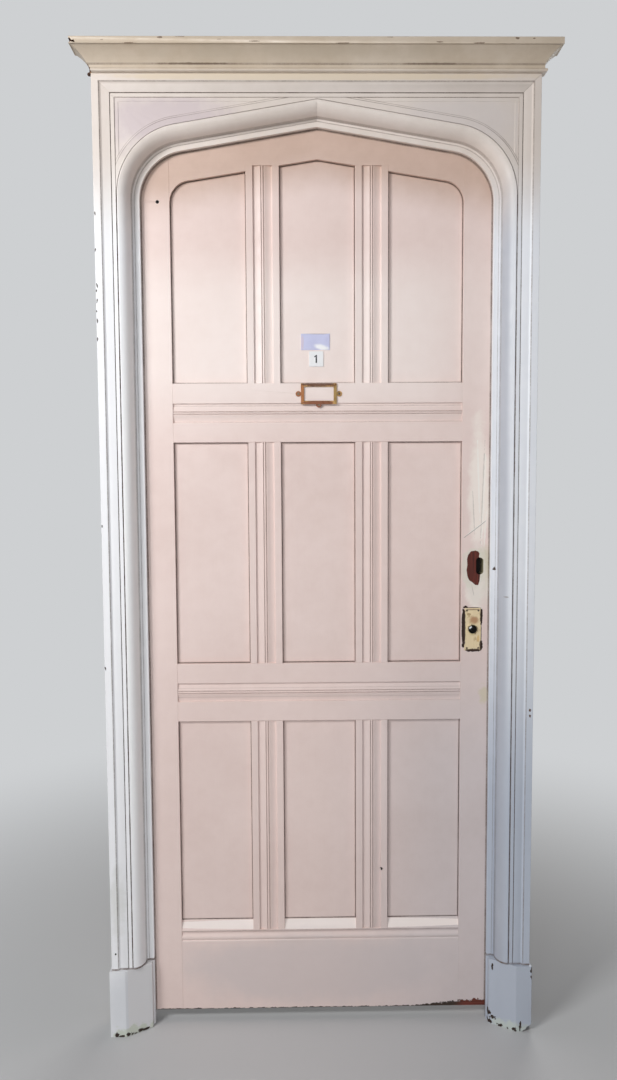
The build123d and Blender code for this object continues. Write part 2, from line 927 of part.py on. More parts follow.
with BuildPart() as stile_lock:
    add(stile(1))
    with Locations((leaf_half, y_lock, knob_height)):
        Box(2 * (case_depth + forend_thickness), case_thickness, case_height, mode=Mode.SUBTRACT)
        Box(2 * forend_thickness, forend_width, forend_height, mode=Mode.SUBTRACT)
    add(hole(knob_x, y_leaf, knob_height, spindle_hole, leaf_thickness), mode=Mode.SUBTRACT)
    with BuildSketch(face_plane(y_leaf + cylinder_hole_depth)):
        with Locations((cylinder_x, cylinder_z)):
            SlotOverall(cylinder_hole_height, cylinder_hole_width, rotation=90)
    extrude(amount=cylinder_hole_depth, mode=Mode.SUBTRACT)
    with BuildSketch(face_plane(y_leaf + torn_patch_depth)):
        with BuildLine():
            Polyline(*[(cylinder_x + across, cylinder_z + up) for across, up in torn_patch], close=True)
        make_face()
    extrude(amount=torn_patch_depth, mode=Mode.SUBTRACT)
    add(pilot_holes(forend_places), mode=Mode.SUBTRACT)
    add(pilot_holes(plate_places, plate_screw_shank, plate_screw_length), mode=Mode.SUBTRACT)
save(stile_lock.part, "stile_lock")

with BuildPart() as bottom_rail:
    slope_foot = bottom_rail_top - weathering_height
    hollow_top = slope_foot - foot_hollow_top
    bead_top = hollow_top - foot_hollow_height
    bead_foot = bead_top - foot_bead_height
    with BuildSketch(Plane.YZ.offset(-stile_inner)):
        with BuildLine():
            Polyline(
                (y_leaf, hollow_top), (y_leaf, slope_foot), (y_panel, bottom_rail_top),
                (y_back, bottom_rail_top), (y_back, floor_gap), (y_leaf, floor_gap),
            )
            Polyline(
                (y_leaf, floor_gap), (y_leaf, bead_foot - foot_quirk), (y_leaf + foot_bead_drop, bead_foot),
            )
            ThreePointArc(
                (y_leaf + foot_bead_drop, bead_foot), (y_leaf, (bead_foot + bead_top) / 2),
                (y_leaf + foot_bead_drop, bead_top),
            )
            ThreePointArc(
                (y_leaf + foot_bead_drop, bead_top),
                (y_leaf + foot_hollow_depth, (bead_top + hollow_top) / 2), (y_leaf, hollow_top),
            )
        make_face()
    extrude(amount=2 * stile_inner)
    for side in (-1, 1):
        with Locations((side * muntin_x, (y_leaf + y_back) / 2, muntin_foot)):
            Box(
                muntin_width, leaf_thickness, muntin_foot_drop,
                align=(Align.CENTER, Align.CENTER, Align.MIN), mode=Mode.SUBTRACT,
            )
    rail_middle = (floor_gap + muntin_foot) / 2
    rail_tenon_height = muntin_foot - floor_gap - 2 * tenon_shoulder
    add(tenons([(0, rail_middle)], 2 * (stile_inner + rail_tenon), rail_tenon_height))
    add(grooves([(column, 0) for column in columns]), mode=Mode.SUBTRACT)
    add(muntin_mortices(muntin_foot), mode=Mode.SUBTRACT)
save(bottom_rail.part, "bottom_rail")

save(middle_rail(lock_rail_foot, lock_rail_top, 0), "lock_rail")

with BuildPart() as upper_rail:
    add(middle_rail(upper_rail_foot, upper_rail_top, 1))
    add(pilot_holes(card_places, card_screw_shank, card_screw_length), mode=Mode.SUBTRACT)
save(upper_rail.part, "upper_rail")

with BuildPart() as top_rail:
    add(leaf_board(-stile_inner, stile_inner, upper_rail_top, arch_apex, [(column, 2) for column in columns]))
    ends = [(side * (stile_inner + top_tenon / 2), top_tenon_z) for side in (-1, 1)]
    add(tenons(ends, top_tenon, top_tenon_height))
    with Locations((0, (y_leaf + y_back) / 2, 0)):
        Box(
            2 * muntin_x + muntin_width, leaf_thickness, muntin_top,
            align=(Align.CENTER, Align.CENTER, Align.MIN), mode=Mode.SUBTRACT,
        )
    add(grooves([(column, 2) for column in columns]), mode=Mode.SUBTRACT)
    add(muntin_mortices(muntin_top), mode=Mode.SUBTRACT)
save(top_rail.part, "top_rail")


def muntin(side, row):
    """Muntin with a tenon at each end, its panel grooves and the moulded band down its middle."""
    foot, top = muntin_spans[row]
    x = side * muntin_x
    with BuildPart() as timber:
        add(leaf_board(x - muntin_width / 2, x + muntin_width / 2, foot, top, []))
        length = top - foot + 2 * muntin_tenon
        with Locations((x, y_tongue, (foot + top) / 2)):
            Box(muntin_width - 2 * tenon_shoulder, tenon_thickness, length)
        add(grooves([(0, row), (side, row)]), mode=Mode.SUBTRACT)
        add(moulded_band(Plane(origin=(x, y_leaf, foot)), top - foot), mode=Mode.SUBTRACT)
        if side > 0 and row == 0:
            across = x + muntin_hole_offset
            add(hole(across, y_leaf, muntin_hole_height, old_hole_radius, old_hole_depth), mode=Mode.SUBTRACT)
    return timber.part


def panel(column, row):
    """Flat panel with a thinner tongue all round it."""
    with BuildPart() as board:
        with BuildSketch(face_plane(y_panel + panel_thickness)):
            add(opening(column, row, -panel_reveal))
        extrude(amount=panel_thickness)
        with BuildSketch(face_plane(y_tongue + tongue_thickness / 2)):
            add(opening(column, row, tongue_reach))
        extrude(amount=tongue_thickness)
    return board.part


for row, row_name in enumerate(row_names):
    for side, side_name in ((-1, "left"), (1, "right")):
        save(muntin(side, row), f"muntin_{row_name}_{side_name}")
    for column, column_name in zip(columns, column_names):
        save(panel(column, row), f"panel_{row_name}_{column_name}")


# The hinges: plates, pins and all the screws of the ironwork


def hinge_plates(side, first, bore):
    """Three hinge plates with every other knuckle: side -1 on the post, 1 on the stile."""
    face = x_frame_plate if side < 0 else x_leaf_plate
    places = frame_hinge_places if side < 0 else leaf_hinge_places
    middle = face + side * hinge_plate_thickness / 2
    pitch = hinge_length / knuckle_count
    with BuildPart() as plates:
        for height in hinge_heights:
            with Locations((middle, y_back - (hinge_plate_width + knuckle_clearance) / 2, height)):
                Box(hinge_plate_thickness, hinge_plate_width - knuckle_clearance, hinge_length)
            for knuckle in range(first, knuckle_count, 2):
                z = height - hinge_length / 2 + (knuckle + 0.5) * pitch
                with Locations((middle, y_back + (knuckle_radius - knuckle_clearance) / 2, z)):
                    Box(hinge_plate_thickness, knuckle_radius + knuckle_clearance, pitch - knuckle_play)
                with Locations((x_knuckle, y_knuckle, z)):
                    Cylinder(knuckle_radius, pitch - knuckle_play)
            with Locations((x_knuckle, y_knuckle, height)):
                Cylinder(bore, hinge_length, mode=Mode.SUBTRACT)
        add(plate_holes(places), mode=Mode.SUBTRACT)
    return plates.part


save(hinge_plates(-1, 0, pin_radius), "hinge_frame_plates")
save(hinge_plates(1, 1, pin_radius + pin_play), "hinge_leaf_plates")

with BuildPart() as hinge_pins:
    for height in hinge_heights:
        with Locations((x_knuckle, y_knuckle, height)):
            Cylinder(pin_radius, hinge_length + 2 * pin_tip)
        ends = [(x_knuckle, y_knuckle, height + end * (hinge_length + pin_tip) / 2) for end in (-1, 1)]
        with Locations(*ends):
            Cylinder(pin_head, pin_tip)
save(hinge_pins.part, "hinge_pins")

save(screws(frame_hinge_places + strike_places), "frame_screws")
save(screws(leaf_hinge_places + forend_places), "leaf_screws")


# The mortice lock, its latch drawn back level with the leaf's edge

case_left = leaf_half - forend_thickness - case_depth
case_middle = case_left + case_depth / 2
cap_thickness = case_wall

with BuildPart() as lock_case:
    with Locations((case_middle, y_lock - cap_thickness / 2, knob_height)):
        Box(case_depth, case_thickness - cap_thickness, case_height)
    with Locations((case_left + case_wall, y_lock - case_thickness / 2 + case_wall, knob_height)):
        Box(
            case_depth, case_thickness, case_height - 2 * case_wall,
            align=(Align.MIN, Align.MIN, Align.CENTER), mode=Mode.SUBTRACT,
        )
    add(hole(knob_x, y_leaf, knob_height, hub_journal + hub_play, leaf_thickness), mode=Mode.SUBTRACT)
save(lock_case.part, "lock_case")

with BuildPart() as lock_cap:
    with Locations((case_middle, y_lock + case_thickness / 2 - cap_thickness / 2, knob_height)):
        Box(case_depth, cap_thickness, case_height)
    add(hole(knob_x, y_leaf, knob_height, hub_journal + hub_play, leaf_thickness), mode=Mode.SUBTRACT)
save(lock_cap.part, "lock_cap")

with BuildPart() as lock_forend:
    with Locations((leaf_half - forend_thickness / 2, y_lock, knob_height)):
        Box(forend_thickness, forend_width, forend_height)
    with Locations((leaf_half, y_lock, latch_z)):
        Box(
            3 * forend_thickness, latch_thickness + 2 * latch_play, latch_height + 2 * latch_play,
            mode=Mode.SUBTRACT,
        )
    add(plate_holes(forend_places), mode=Mode.SUBTRACT)
save(lock_forend.part, "lock_forend")

with BuildPart() as lock_hub:
    axis = (knob_x, knob_height)
    with BuildSketch(face_plane(y_lock + case_thickness / 2)):
        with Locations(axis):
            Circle(hub_journal)
    extrude(amount=case_thickness)
    hub_length = case_thickness - 2 * case_wall - 2 * hub_side_play
    with BuildSketch(face_plane(y_lock + hub_length / 2)):
        with Locations(axis):
            Circle(hub_radius)
    extrude(amount=hub_length)
    with BuildSketch(face_plane(y_lock + arm_thickness / 2)):
        with Locations(axis):
            with PolarLocations(arm_radius / 2, 1, start_angle=90 + arm_swing / 2):
                Rectangle(arm_radius, arm_width)
            with PolarLocations(arm_radius, 1, start_angle=90 + arm_swing / 2):
                Circle(arm_tip)
    extrude(amount=arm_thickness)
    with BuildSketch(face_plane(y_lock + case_thickness / 2)):
        with Locations(axis):
            Rectangle(spindle_square, spindle_square, rotation=arm_swing)
    extrude(amount=case_thickness, mode=Mode.SUBTRACT)
save(lock_hub.part, "lock_hub")

with BuildPart() as latch_bolt:
    rear = leaf_half - latch_head
    with BuildSketch(Plane.XY.offset(latch_z - latch_height / 2)):
        with BuildLine():
            Polyline(
                (rear, y_lock - latch_thickness / 2), (leaf_half - latch_bevel, y_lock - latch_thickness / 2),
                (leaf_half, y_lock + latch_thickness / 2 - latch_bevel_land),
                (leaf_half, y_lock + latch_thickness / 2), (rear, y_lock + latch_thickness / 2), close=True,
            )
        make_face()
    extrude(amount=latch_height)
    tail_left = knob_x - tail_rear
    tail_foot = latch_z - tail_drop
    with Locations(((tail_left + rear) / 2, y_lock, tail_foot + tail_height / 2)):
        Box(rear - tail_left, tail_thickness, tail_height)
    tip_x = knob_x - arm_radius * math.sin(math.radians(arm_swing / 2))
    notch_height = knob_height + arm_radius + arm_tip + arm_play - tail_foot
    with Locations((tip_x, y_lock, tail_foot)):
        Box(2 * (arm_tip + arm_play), tail_thickness, 2 * notch_height, mode=Mode.SUBTRACT)
save(latch_bolt.part, "latch_bolt")

with BuildPart() as strike_plate:
    with Locations((rebate_half + strike_thickness / 2, y_lock, latch_z)):
        Box(strike_thickness, strike_width, strike_height)
        Box(
            strike_thickness, latch_thickness + 2 * strike_clearance, latch_height + 2 * strike_clearance,
            mode=Mode.SUBTRACT,
        )
    add(plate_holes(strike_places), mode=Mode.SUBTRACT)
save(strike_plate.part, "strike_plate")


# Furniture on the face of the leaf

with BuildPart() as knob_plate:
    with BuildSketch(face_plane(y_leaf)):
        with Locations((knob_x, knob_height)):
            RectangleRounded(plate_width, plate_height, plate_rounding)
    extrude(amount=plate_thickness)
    with BuildSketch(face_plane(y_plate)):
        with Locations((knob_x, knob_height)):
            Circle(plate_collar)
    extrude(amount=plate_collar_rise, taper=plate_collar_taper)
    y_collar = y_plate - plate_collar_rise
    add(hole(knob_x, y_collar, knob_height, spindle_hole, leaf_thickness), mode=Mode.SUBTRACT)
    plate_screw = (plate_screw_head, plate_screw_shank, plate_screw_length)
    add(plate_holes(plate_places, *plate_screw), mode=Mode.SUBTRACT)
save(knob_plate.part, "knob_plate")

save(screws(plate_places, *plate_screw), "knob_plate_screws")

with BuildPart() as card_frame:
    with BuildSketch(face_plane(y_leaf)):
        with Locations((card_x, ear_z)):
            Rectangle(card_width, card_height)
    extrude(amount=card_thickness)
    with BuildSketch(face_plane(y_leaf)):
        with Locations((card_x - ear_x, ear_z), (card_x + ear_x, ear_z), (card_x, card_foot - card_ear_drop)):
            Circle(card_ear_radius)
    extrude(amount=card_ear_thickness)
    with BuildSketch(face_plane(y_leaf)):
        with Locations((card_x, ear_z)):
            Rectangle(card_window_width, card_window_height)
    extrude(amount=card_thickness, mode=Mode.SUBTRACT)
    with BuildSketch(face_plane(y_leaf)):
        with Locations((card_x, ear_z)):
            Rectangle(card_pocket_width, card_pocket_height)
    extrude(amount=card_pocket_depth, mode=Mode.SUBTRACT)
    add(plate_holes(card_places, card_screw_head, card_screw_shank, card_screw_length), mode=Mode.SUBTRACT)
save(card_frame.part, "card_frame")

save(screws(card_places, card_screw_head, card_screw_shank, card_screw_length), "card_screws")

with BuildPart() as name_plate:
    with BuildSketch(face_plane(y_panel)):
        with Locations((name_plate_x, upper_rail_top + name_plate_rise + name_plate_height / 2)):
            Rectangle(name_plate_width, name_plate_height)
    extrude(amount=name_plate_thickness)
save(name_plate.part, "name_plate")

with BuildPart() as number_plate:
    numeral_z = upper_rail_top + number_rise + number_height / 2
    numeral_top = numeral_z + numeral_height / 2
    stem = numeral_stroke / 2
    with BuildSketch(face_plane(y_panel)):
        with Locations((number_x, numeral_z)):
            RectangleRounded(number_width, number_height, number_rounding)
    extrude(amount=number_thickness)
    with BuildSketch(face_plane(y_panel - number_thickness)):
        with BuildLine():
            Polyline(
                (number_x + stem, numeral_top - numeral_height), (number_x + stem, numeral_top),
                (number_x, numeral_top), (number_x - numeral_flag, numeral_top - numeral_flag * 0.7),
                (number_x - numeral_flag, numeral_top - numeral_flag * 1.3),
                (number_x - stem, numeral_top - numeral_flag * 0.9),
                (number_x - stem, numeral_top - numeral_height), close=True,
            )
        make_face()
    extrude(amount=numeral_relief)
save(number_plate.part, "number_plate")
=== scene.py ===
# %% [markdown]
# # A panelled front door in its arched frame
#
# The real object is an old softwood door: nine flat panels held in grooves between stiles, rails
# and reeded muntins, hung on butt hinges in a frame with a low pointed arch. All of it has been
# painted many times over, so what one sees is paint: soft arrises, brush marks, dirt in every quirk
# and recess, and chips where the coats have let go of the wood.
#
# The solids come from a CAD model and stay where they are. This script gives them their surfaces:
# every piece below is a softened, painted copy of a CAD solid, or, for the screws, a row of better
# ones grown on the same spots.

# %% Load the frame
import json
import math
import random

import bmesh
import bpy
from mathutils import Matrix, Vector
from mathutils.bvhtree import BVHTree


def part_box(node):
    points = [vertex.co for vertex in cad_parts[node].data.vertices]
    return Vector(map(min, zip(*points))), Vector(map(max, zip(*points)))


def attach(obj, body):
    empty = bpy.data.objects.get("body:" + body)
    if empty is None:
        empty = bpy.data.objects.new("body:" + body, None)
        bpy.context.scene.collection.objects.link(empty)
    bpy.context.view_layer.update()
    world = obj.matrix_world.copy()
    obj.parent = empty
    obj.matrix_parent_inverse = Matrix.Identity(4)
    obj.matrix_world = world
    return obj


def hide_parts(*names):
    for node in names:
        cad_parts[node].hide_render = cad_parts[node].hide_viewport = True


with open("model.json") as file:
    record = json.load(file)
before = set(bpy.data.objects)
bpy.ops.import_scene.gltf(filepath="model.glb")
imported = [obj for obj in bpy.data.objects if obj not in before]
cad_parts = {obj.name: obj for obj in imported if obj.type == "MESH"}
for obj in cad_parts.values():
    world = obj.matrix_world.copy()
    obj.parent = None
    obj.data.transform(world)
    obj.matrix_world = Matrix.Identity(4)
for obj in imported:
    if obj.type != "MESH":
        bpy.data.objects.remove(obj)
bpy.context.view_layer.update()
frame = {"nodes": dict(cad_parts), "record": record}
NODES = frame["nodes"]
BODY_OF = {node: body for body, nodes in frame["record"]["behaviour"]["bodies"].items() for node in nodes}

# %% [markdown]
# ## The camera
#
# The photograph was taken standing, a little under two metres from the door, with the phone tipped
# down by four degrees. The lens and the place were worked out from the door's straight lines.
# Blender measures a vertical sensor here, because the picture is taller than it is wide.

# %% Camera
PICTURE = (617, 1080)
FOCAL_PIXELS = 811


def new_object(name, data):
    """A new object with this data, in the scene."""
    item = bpy.data.objects.new(name, data)
    bpy.context.scene.collection.objects.link(item)
    return item


camera_data = bpy.data.cameras.new("camera")
camera_data.sensor_fit = "VERTICAL"
camera_data.sensor_height = 24
camera_data.lens = FOCAL_PIXELS / PICTURE[1] * camera_data.sensor_height
camera = new_object("camera", camera_data)
camera.location = (-0.0503, -1.9237, 1.3382)
camera.rotation_euler = [math.radians(angle) for angle in (85.951, 0.323, -0.785)]
bpy.context.scene.camera = camera
print("lens", round(camera_data.lens, 2), "mm on a sensor", camera_data.sensor_height, "mm tall")

# %% [markdown]
# ## Light, floor and background
#
# The door stands in soft daylight from the upper left: the panels' top and left edges throw thin
# shadows, the opposite edges catch the light, and the lower right is about half as bright as the
# upper left. One area lamp does that; a weak one in front and the pale world fill the shadows. The
# background is the world as the camera sees it, so making it paler doesn't change the light. A third
# lamp is for the inside of the door, which the photograph doesn't show.


# %% Colours and nodes
def srgb(red, green, blue):
    """A colour as it is read on a screen, 0 to 255, in the linear values that shaders take."""
    parts = [value / 255 for value in (red, green, blue)]
    return tuple(v / 12.92 if v <= 0.04045 else ((v + 0.055) / 1.055) ** 2.4 for v in parts) + (1.0,)


def put(tree, kind, inputs=None, **settings):
    """A new node: its settings by keyword, its sockets by name or number, each a value or a link."""
    node = tree.nodes.new(kind)
    for key, value in settings.items():
        setattr(node, key, value)
    for key, value in (inputs or {}).items():
        if isinstance(value, bpy.types.NodeSocket):
            tree.links.new(value, node.inputs[key])
        else:
            node.inputs[key].default_value = value
    return node


def fresh_material(name):
    """A new material, with its node tree and its shader."""
    material = bpy.data.materials.new(name)
    material.use_nodes = True
    return material, material.node_tree, material.node_tree.nodes["Principled BSDF"]


def own_place(tree):
    """A point's position in its object's own axes, which are the door's axes while it stands closed."""
    return put(tree, "ShaderNodeTexCoord").outputs["Object"]

# %% World and lamps
bpy.context.scene.view_settings.view_transform = "Standard"
BACKGROUND = srgb(206, 208, 210)
FILL_STRENGTH = 0.12


def shown(tree):
    """1 for rays that show the background, from the camera or off gloss, and 0 for light on the door."""
    path = put(tree, "ShaderNodeLightPath").outputs
    rays = {0: path["Is Camera Ray"], 1: path["Is Glossy Ray"]}
    return put(tree, "ShaderNodeMath", rays, operation="MAXIMUM").outputs[0]


world = bpy.data.worlds.new("daylight")
bpy.context.scene.world = world
world.use_nodes = True
sky = world.node_tree
sky.nodes.clear()
fill = put(sky, "ShaderNodeBackground", {"Color": srgb(240, 240, 242), "Strength": FILL_STRENGTH})
backdrop = put(sky, "ShaderNodeBackground", {"Color": BACKGROUND, "Strength": 1.0})
mixed = put(sky, "ShaderNodeMixShader", {0: shown(sky), 1: fill.outputs[0], 2: backdrop.outputs[0]})
put(sky, "ShaderNodeOutputWorld", {"Surface": mixed.outputs[0]})


def area_lamp(name, place, target, size, watts, colour):
    """A square soft lamp that looks at a point."""
    data = bpy.data.lights.new(name, "AREA")
    data.size = size
    data.energy = watts
    data.color = colour[:3]
    lamp = new_object(name, data)
    lamp.location = place
    lamp.rotation_euler = (Vector(target) - Vector(place)).to_track_quat("-Z", "Y").to_euler()


area_lamp("key", (-1.7, -1.75, 2.35), (-0.1, 0, 1.35), size=0.8, watts=43, colour=srgb(255, 255, 255))
area_lamp("front", (-0.2, -3.6, 1.5), (0, 0, 1.2), size=2.4, watts=35, colour=srgb(252, 253, 255))
area_lamp("back", (1.3, 3.2, 2.2), (0, 0, 1.2), size=1.8, watts=42, colour=srgb(255, 253, 250))
print("a pale world and", len(bpy.data.lights), "lamps")

# %% [markdown]
# The floor takes the door's shadow close by. Further off it goes over into the background's colour,
# for the camera and for reflections only, so that no dark line shows where it ends.

# %% Floor
FLOOR_REACH = 6.0
FADE_FROM, FADE_TO = 0.5, 2.4

floor_mesh = bpy.data.meshes.new("floor")
floor_corners = [(x * FLOOR_REACH, y * FLOOR_REACH, 0) for x, y in ((-1, -1), (1, -1), (1, 1), (-1, 1))]
floor_mesh.from_pydata(floor_corners, [], [(0, 1, 2, 3)])
floor_material, tree, shader = fresh_material("pale_floor")
shader.inputs["Base Color"].default_value = srgb(206, 207, 208)
shader.inputs["Roughness"].default_value = 0.8
place = own_place(tree)
away = put(tree, "ShaderNodeVectorMath", {0: place}, operation="LENGTH").outputs["Value"]
far = put(tree, "ShaderNodeMapRange", {0: away, 1: FADE_FROM, 2: FADE_TO}, interpolation_type="SMOOTHSTEP")
share = put(tree, "ShaderNodeMath", {0: far.outputs[0], 1: shown(tree)}, operation="MULTIPLY")
glow = put(tree, "ShaderNodeEmission", {"Color": BACKGROUND, "Strength": 1.0})
mixed = put(tree, "ShaderNodeMixShader", {0: share.outputs[0], 1: shader.outputs[0], 2: glow.outputs[0]})
tree.links.new(mixed.outputs[0], tree.nodes["Material Output"].inputs["Surface"])
floor_mesh.materials.append(floor_material)
floor = new_object("floor", floor_mesh)
print("floor", 2 * FLOOR_REACH, "m wide")

# %% [markdown]
# ## Where a point is on the door
#
# Many of the marks follow the door's own lines: painted shadow and dirt along the stop, painted shade and
# grime under the arch.
# So the first shader group measures how far inwards a point is from the line where the casing meets
# the roll moulding. That line is upright, then a curve of 158 mm radius, then a slope of 17 in 100.

# %% Shader helpers
FLOAT, VECTOR, COLOUR = "NodeSocketFloat", "NodeSocketVector", "NodeSocketColor"
POSITION = ("Position", VECTOR, (0, 0, 0))


def group(name, inputs, outputs):
    """An empty shader group with these sockets, and its two end nodes."""
    tree = bpy.data.node_groups.new(name, "ShaderNodeTree")
    for label, kind, value in inputs:
        tree.interface.new_socket(label, in_out="INPUT", socket_type=kind).default_value = value
    for label, kind in outputs:
        tree.interface.new_socket(label, in_out="OUTPUT", socket_type=kind)
    return tree, put(tree, "NodeGroupInput").outputs, put(tree, "NodeGroupOutput").inputs


def call(tree, source, inputs):
    """A shader group placed in a tree; its outputs."""
    return put(tree, "ShaderNodeGroup", inputs, node_tree=source).outputs


def ramp(tree, value, low, high, floor=0.0, ceiling=1.0):
    """Value taken smoothly from low..high to floor..ceiling."""
    sockets = {0: value, 1: low, 2: high, 3: floor, 4: ceiling}
    return put(tree, "ShaderNodeMapRange", sockets, interpolation_type="SMOOTHSTEP").outputs[0]


def blend(tree, amount, first, second):
    """First colour with this amount of the second."""
    return put(tree, "ShaderNodeMix", {0: amount, 6: first, 7: second}, data_type="RGBA").outputs[2]


def between(tree, amount, first, second):
    """First value with this amount of the second."""
    return put(tree, "ShaderNodeMix", {0: amount, 2: first, 3: second}).outputs[0]


def noise(tree, position, scale, detail=2.0, roughness=0.5):
    """Smooth noise around 0.5, with this many waves to the metre."""
    sockets = {"Vector": position, "Scale": scale, "Detail": detail, "Roughness": roughness}
    return put(tree, "ShaderNodeTexNoise", sockets).outputs[0]


def maths(tree, operation, first, second=0.0, third=0.0):
    """One sum."""
    return put(tree, "ShaderNodeMath", {0: first, 1: second, 2: third}, operation=operation).outputs[0]


def times(tree, first, second):
    """Product of two values."""
    return maths(tree, "MULTIPLY", first, second)


def minus(tree, first, second):
    """Difference of two values."""
    return maths(tree, "SUBTRACT", first, second)


def times_plus(tree, first, second, third):
    """Product of the first two values, and the third added."""
    return maths(tree, "MULTIPLY_ADD", first, second, third)


def vector_maths(tree, operation, first, second=(0, 0, 0)):
    """One vector sum."""
    return put(tree, "ShaderNodeVectorMath", {0: first, 1: second}, operation=operation).outputs[0]


def axes(tree, position):
    """The position's x, y and z."""
    return put(tree, "ShaderNodeSeparateXYZ", {0: position}).outputs


print("kinds of socket:", FLOAT, VECTOR, COLOUR)

# %% Shader group: distance inwards from the arch line
ARCH_HALF = 0.456
ARCH_RADIUS = 0.158
ARCH_APEX = 2.201
ARCH_SLOPE = 0.17
SPRINGING = 1.990073
SLOPE_ANGLE = math.atan(ARCH_SLOPE)

arch_group, given, result = group("arch_inset", [POSITION], [("Inset", FLOAT)])
x, y, z = axes(arch_group, given["Position"])
across = maths(arch_group, "ABSOLUTE", x)
from_side = minus(arch_group, ARCH_HALF, across)
sloped = times_plus(arch_group, across, ARCH_SLOPE, z)
from_slope = times(arch_group, minus(arch_group, ARCH_APEX, sloped), math.cos(SLOPE_ANGLE))
out = minus(arch_group, across, ARCH_HALF - ARCH_RADIUS)
up = minus(arch_group, z, SPRINGING)
spoke = maths(arch_group, "SQRT", times_plus(arch_group, out, out, times(arch_group, up, up)))
from_curve = minus(arch_group, ARCH_RADIUS, spoke)
along_slope = times(arch_group, up, -math.sin(SLOPE_ANGLE))
before_slope = times_plus(arch_group, out, math.cos(SLOPE_ANGLE), along_slope)
above, outside = (maths(arch_group, "GREATER_THAN", value, 0.0) for value in (up, before_slope))
straight = maths(arch_group, "MINIMUM", from_side, from_slope)
inset = between(arch_group, times(arch_group, above, outside), straight, from_curve)
arch_group.links.new(inset, result["Inset"])
print("group", arch_group.name, "with", len(arch_group.nodes), "nodes")

# %% [markdown]
# ## Tone by position
#
# The colour isn't the same over the whole door, and some of what changes is painted light and shade.
# The leaf is a pale pink, lighter in a painted pool of light at eye level, greyer with painted shade
# low on the right, and brown under the arch from painted shade and grime. The frame is nearly white on
# the left, cooler and brighter on the right as painted light, darker low on the right as painted
# shade, grey in the roll from painted shade and dirt, and cream over the arch and tan on the cornice
# from yellowed paint and painted shade. The change is gradual: it doesn't stop at a mitre. So the
# tone is a map over the door, and pieces that meet get the same colour where they meet.

# %% Shader groups: tones
# Painted light and shade among the tones: the clean leaf tone is a painted pool of light, the low leaf and
# low frame tones are painted shade, the right frame tone is cooler, brighter painted light, the roll tone is
# painted shade, and the under-arch, head and cornice tones are painted shade with grime and yellowed paint.
LEAF = (srgb(240, 219, 212), srgb(226, 202, 194))
LEAF_LIT_BAND = (srgb(250, 236, 230), srgb(243, 226, 219))
LEAF_LOW_SHADE = (srgb(220, 208, 207), srgb(206, 193, 190))
LEAF_SHADE_AND_GRIME_UNDER_ARCH = (srgb(213, 186, 171), srgb(186, 156, 138))
FRAME_LEFT = (srgb(250, 250, 252), srgb(243, 243, 246))
FRAME_RIGHT_COOL_LIGHT = (srgb(248, 250, 254), srgb(232, 236, 244))
FRAME_LOW_SHADE = (srgb(182, 191, 206), srgb(172, 181, 197))
ROLL_SHADE = (srgb(178, 183, 193), srgb(166, 171, 182))
FRAME_HEAD_SHADE_AND_YELLOWING = (srgb(230, 219, 211), srgb(209, 197, 186))
CORNICE_SHADE_AND_YELLOWING = (srgb(213, 199, 182), srgb(188, 170, 147))

TONES = {}


def tone_group(name, steps, build):
    """A group with a colour and an aged colour; build gives the amounts that lay each step over the last."""
    tree, given, result = group(name, [POSITION], [("Colour", COLOUR), ("Aged", COLOUR)])
    amounts = build(tree, given["Position"])
    for number, label in enumerate(("Colour", "Aged")):
        shade = steps[0][number]
        for amount, step in zip(amounts, steps[1:]):
            shade = blend(tree, amount, shade, step[number])
        tree.links.new(shade, result[label])
    TONES[name] = tree


def leaf_amounts(tree, position):
    """How much painted light at eye level, painted shade low on the right, and painted shade and grime under
    the arch.
    """
    x, y, z = axes(tree, position)
    height = times_plus(tree, maths(tree, "ABSOLUTE", x), ARCH_SLOPE, z)
    wander = times_plus(tree, noise(tree, position, 9.0, 3.0), 0.05, height)
    clean = times(tree, ramp(tree, z, 1.42, 1.62, 0.0, 0.9), ramp(tree, z, 1.76, 1.92, 1.0, 0.0))
    clean = times(tree, clean, ramp(tree, x, 0.22, 0.38, 1.0, 0.45))
    low = times(tree, ramp(tree, x, -0.05, 0.38), ramp(tree, z, 0.62, 1.12, 1.0, 0.0))
    return [clean, low, ramp(tree, wander, 2.025, 2.135)]


def frame_amounts(tree, position):
    """How much cool painted light on the right, painted shade low down, painted shade and dirt in the roll,
    cream over the arch and tan on the cornice, both partly painted shade.
    """
    x, y, z = axes(tree, position)
    inset = call(tree, arch_group, {"Position": position})["Inset"]
    cool = ramp(tree, x, -0.35, 0.3)
    low = times(tree, ramp(tree, x, 0.2, 0.44), ramp(tree, z, 0.55, 1.15, 0.85, 0.0))
    roll = times(tree, ramp(tree, inset, 0.002, 0.020, 0.0, 0.8), ramp(tree, inset, 0.026, 0.030, 1.0, 0.0))
    roll = times(tree, roll, ramp(tree, x, -0.4, 0.4))
    return [cool, low, roll, ramp(tree, z, 1.86, 2.1), ramp(tree, z, 2.245, 2.262)]


tone_group("leaf_tone", (LEAF, LEAF_LIT_BAND, LEAF_LOW_SHADE, LEAF_SHADE_AND_GRIME_UNDER_ARCH), leaf_amounts)
tone_group(
    "frame_tone", (FRAME_LEFT, FRAME_RIGHT_COOL_LIGHT, FRAME_LOW_SHADE, ROLL_SHADE, FRAME_HEAD_SHADE_AND_YELLOWING, CORNICE_SHADE_AND_YELLOWING), frame_amounts
)
print("tones:", ", ".join(TONES))

# %% [markdown]
# ## Old gloss paint
#
# Paint that has been brushed on again and again is never even. Up close there are strokes along
# each member; further off the tone wanders, because thin places, dirt and yellowing show through.
# The group makes both from noise: one stretched along the member for the strokes, a slow one for
# the tone. It gives a colour, a roughness and a height.

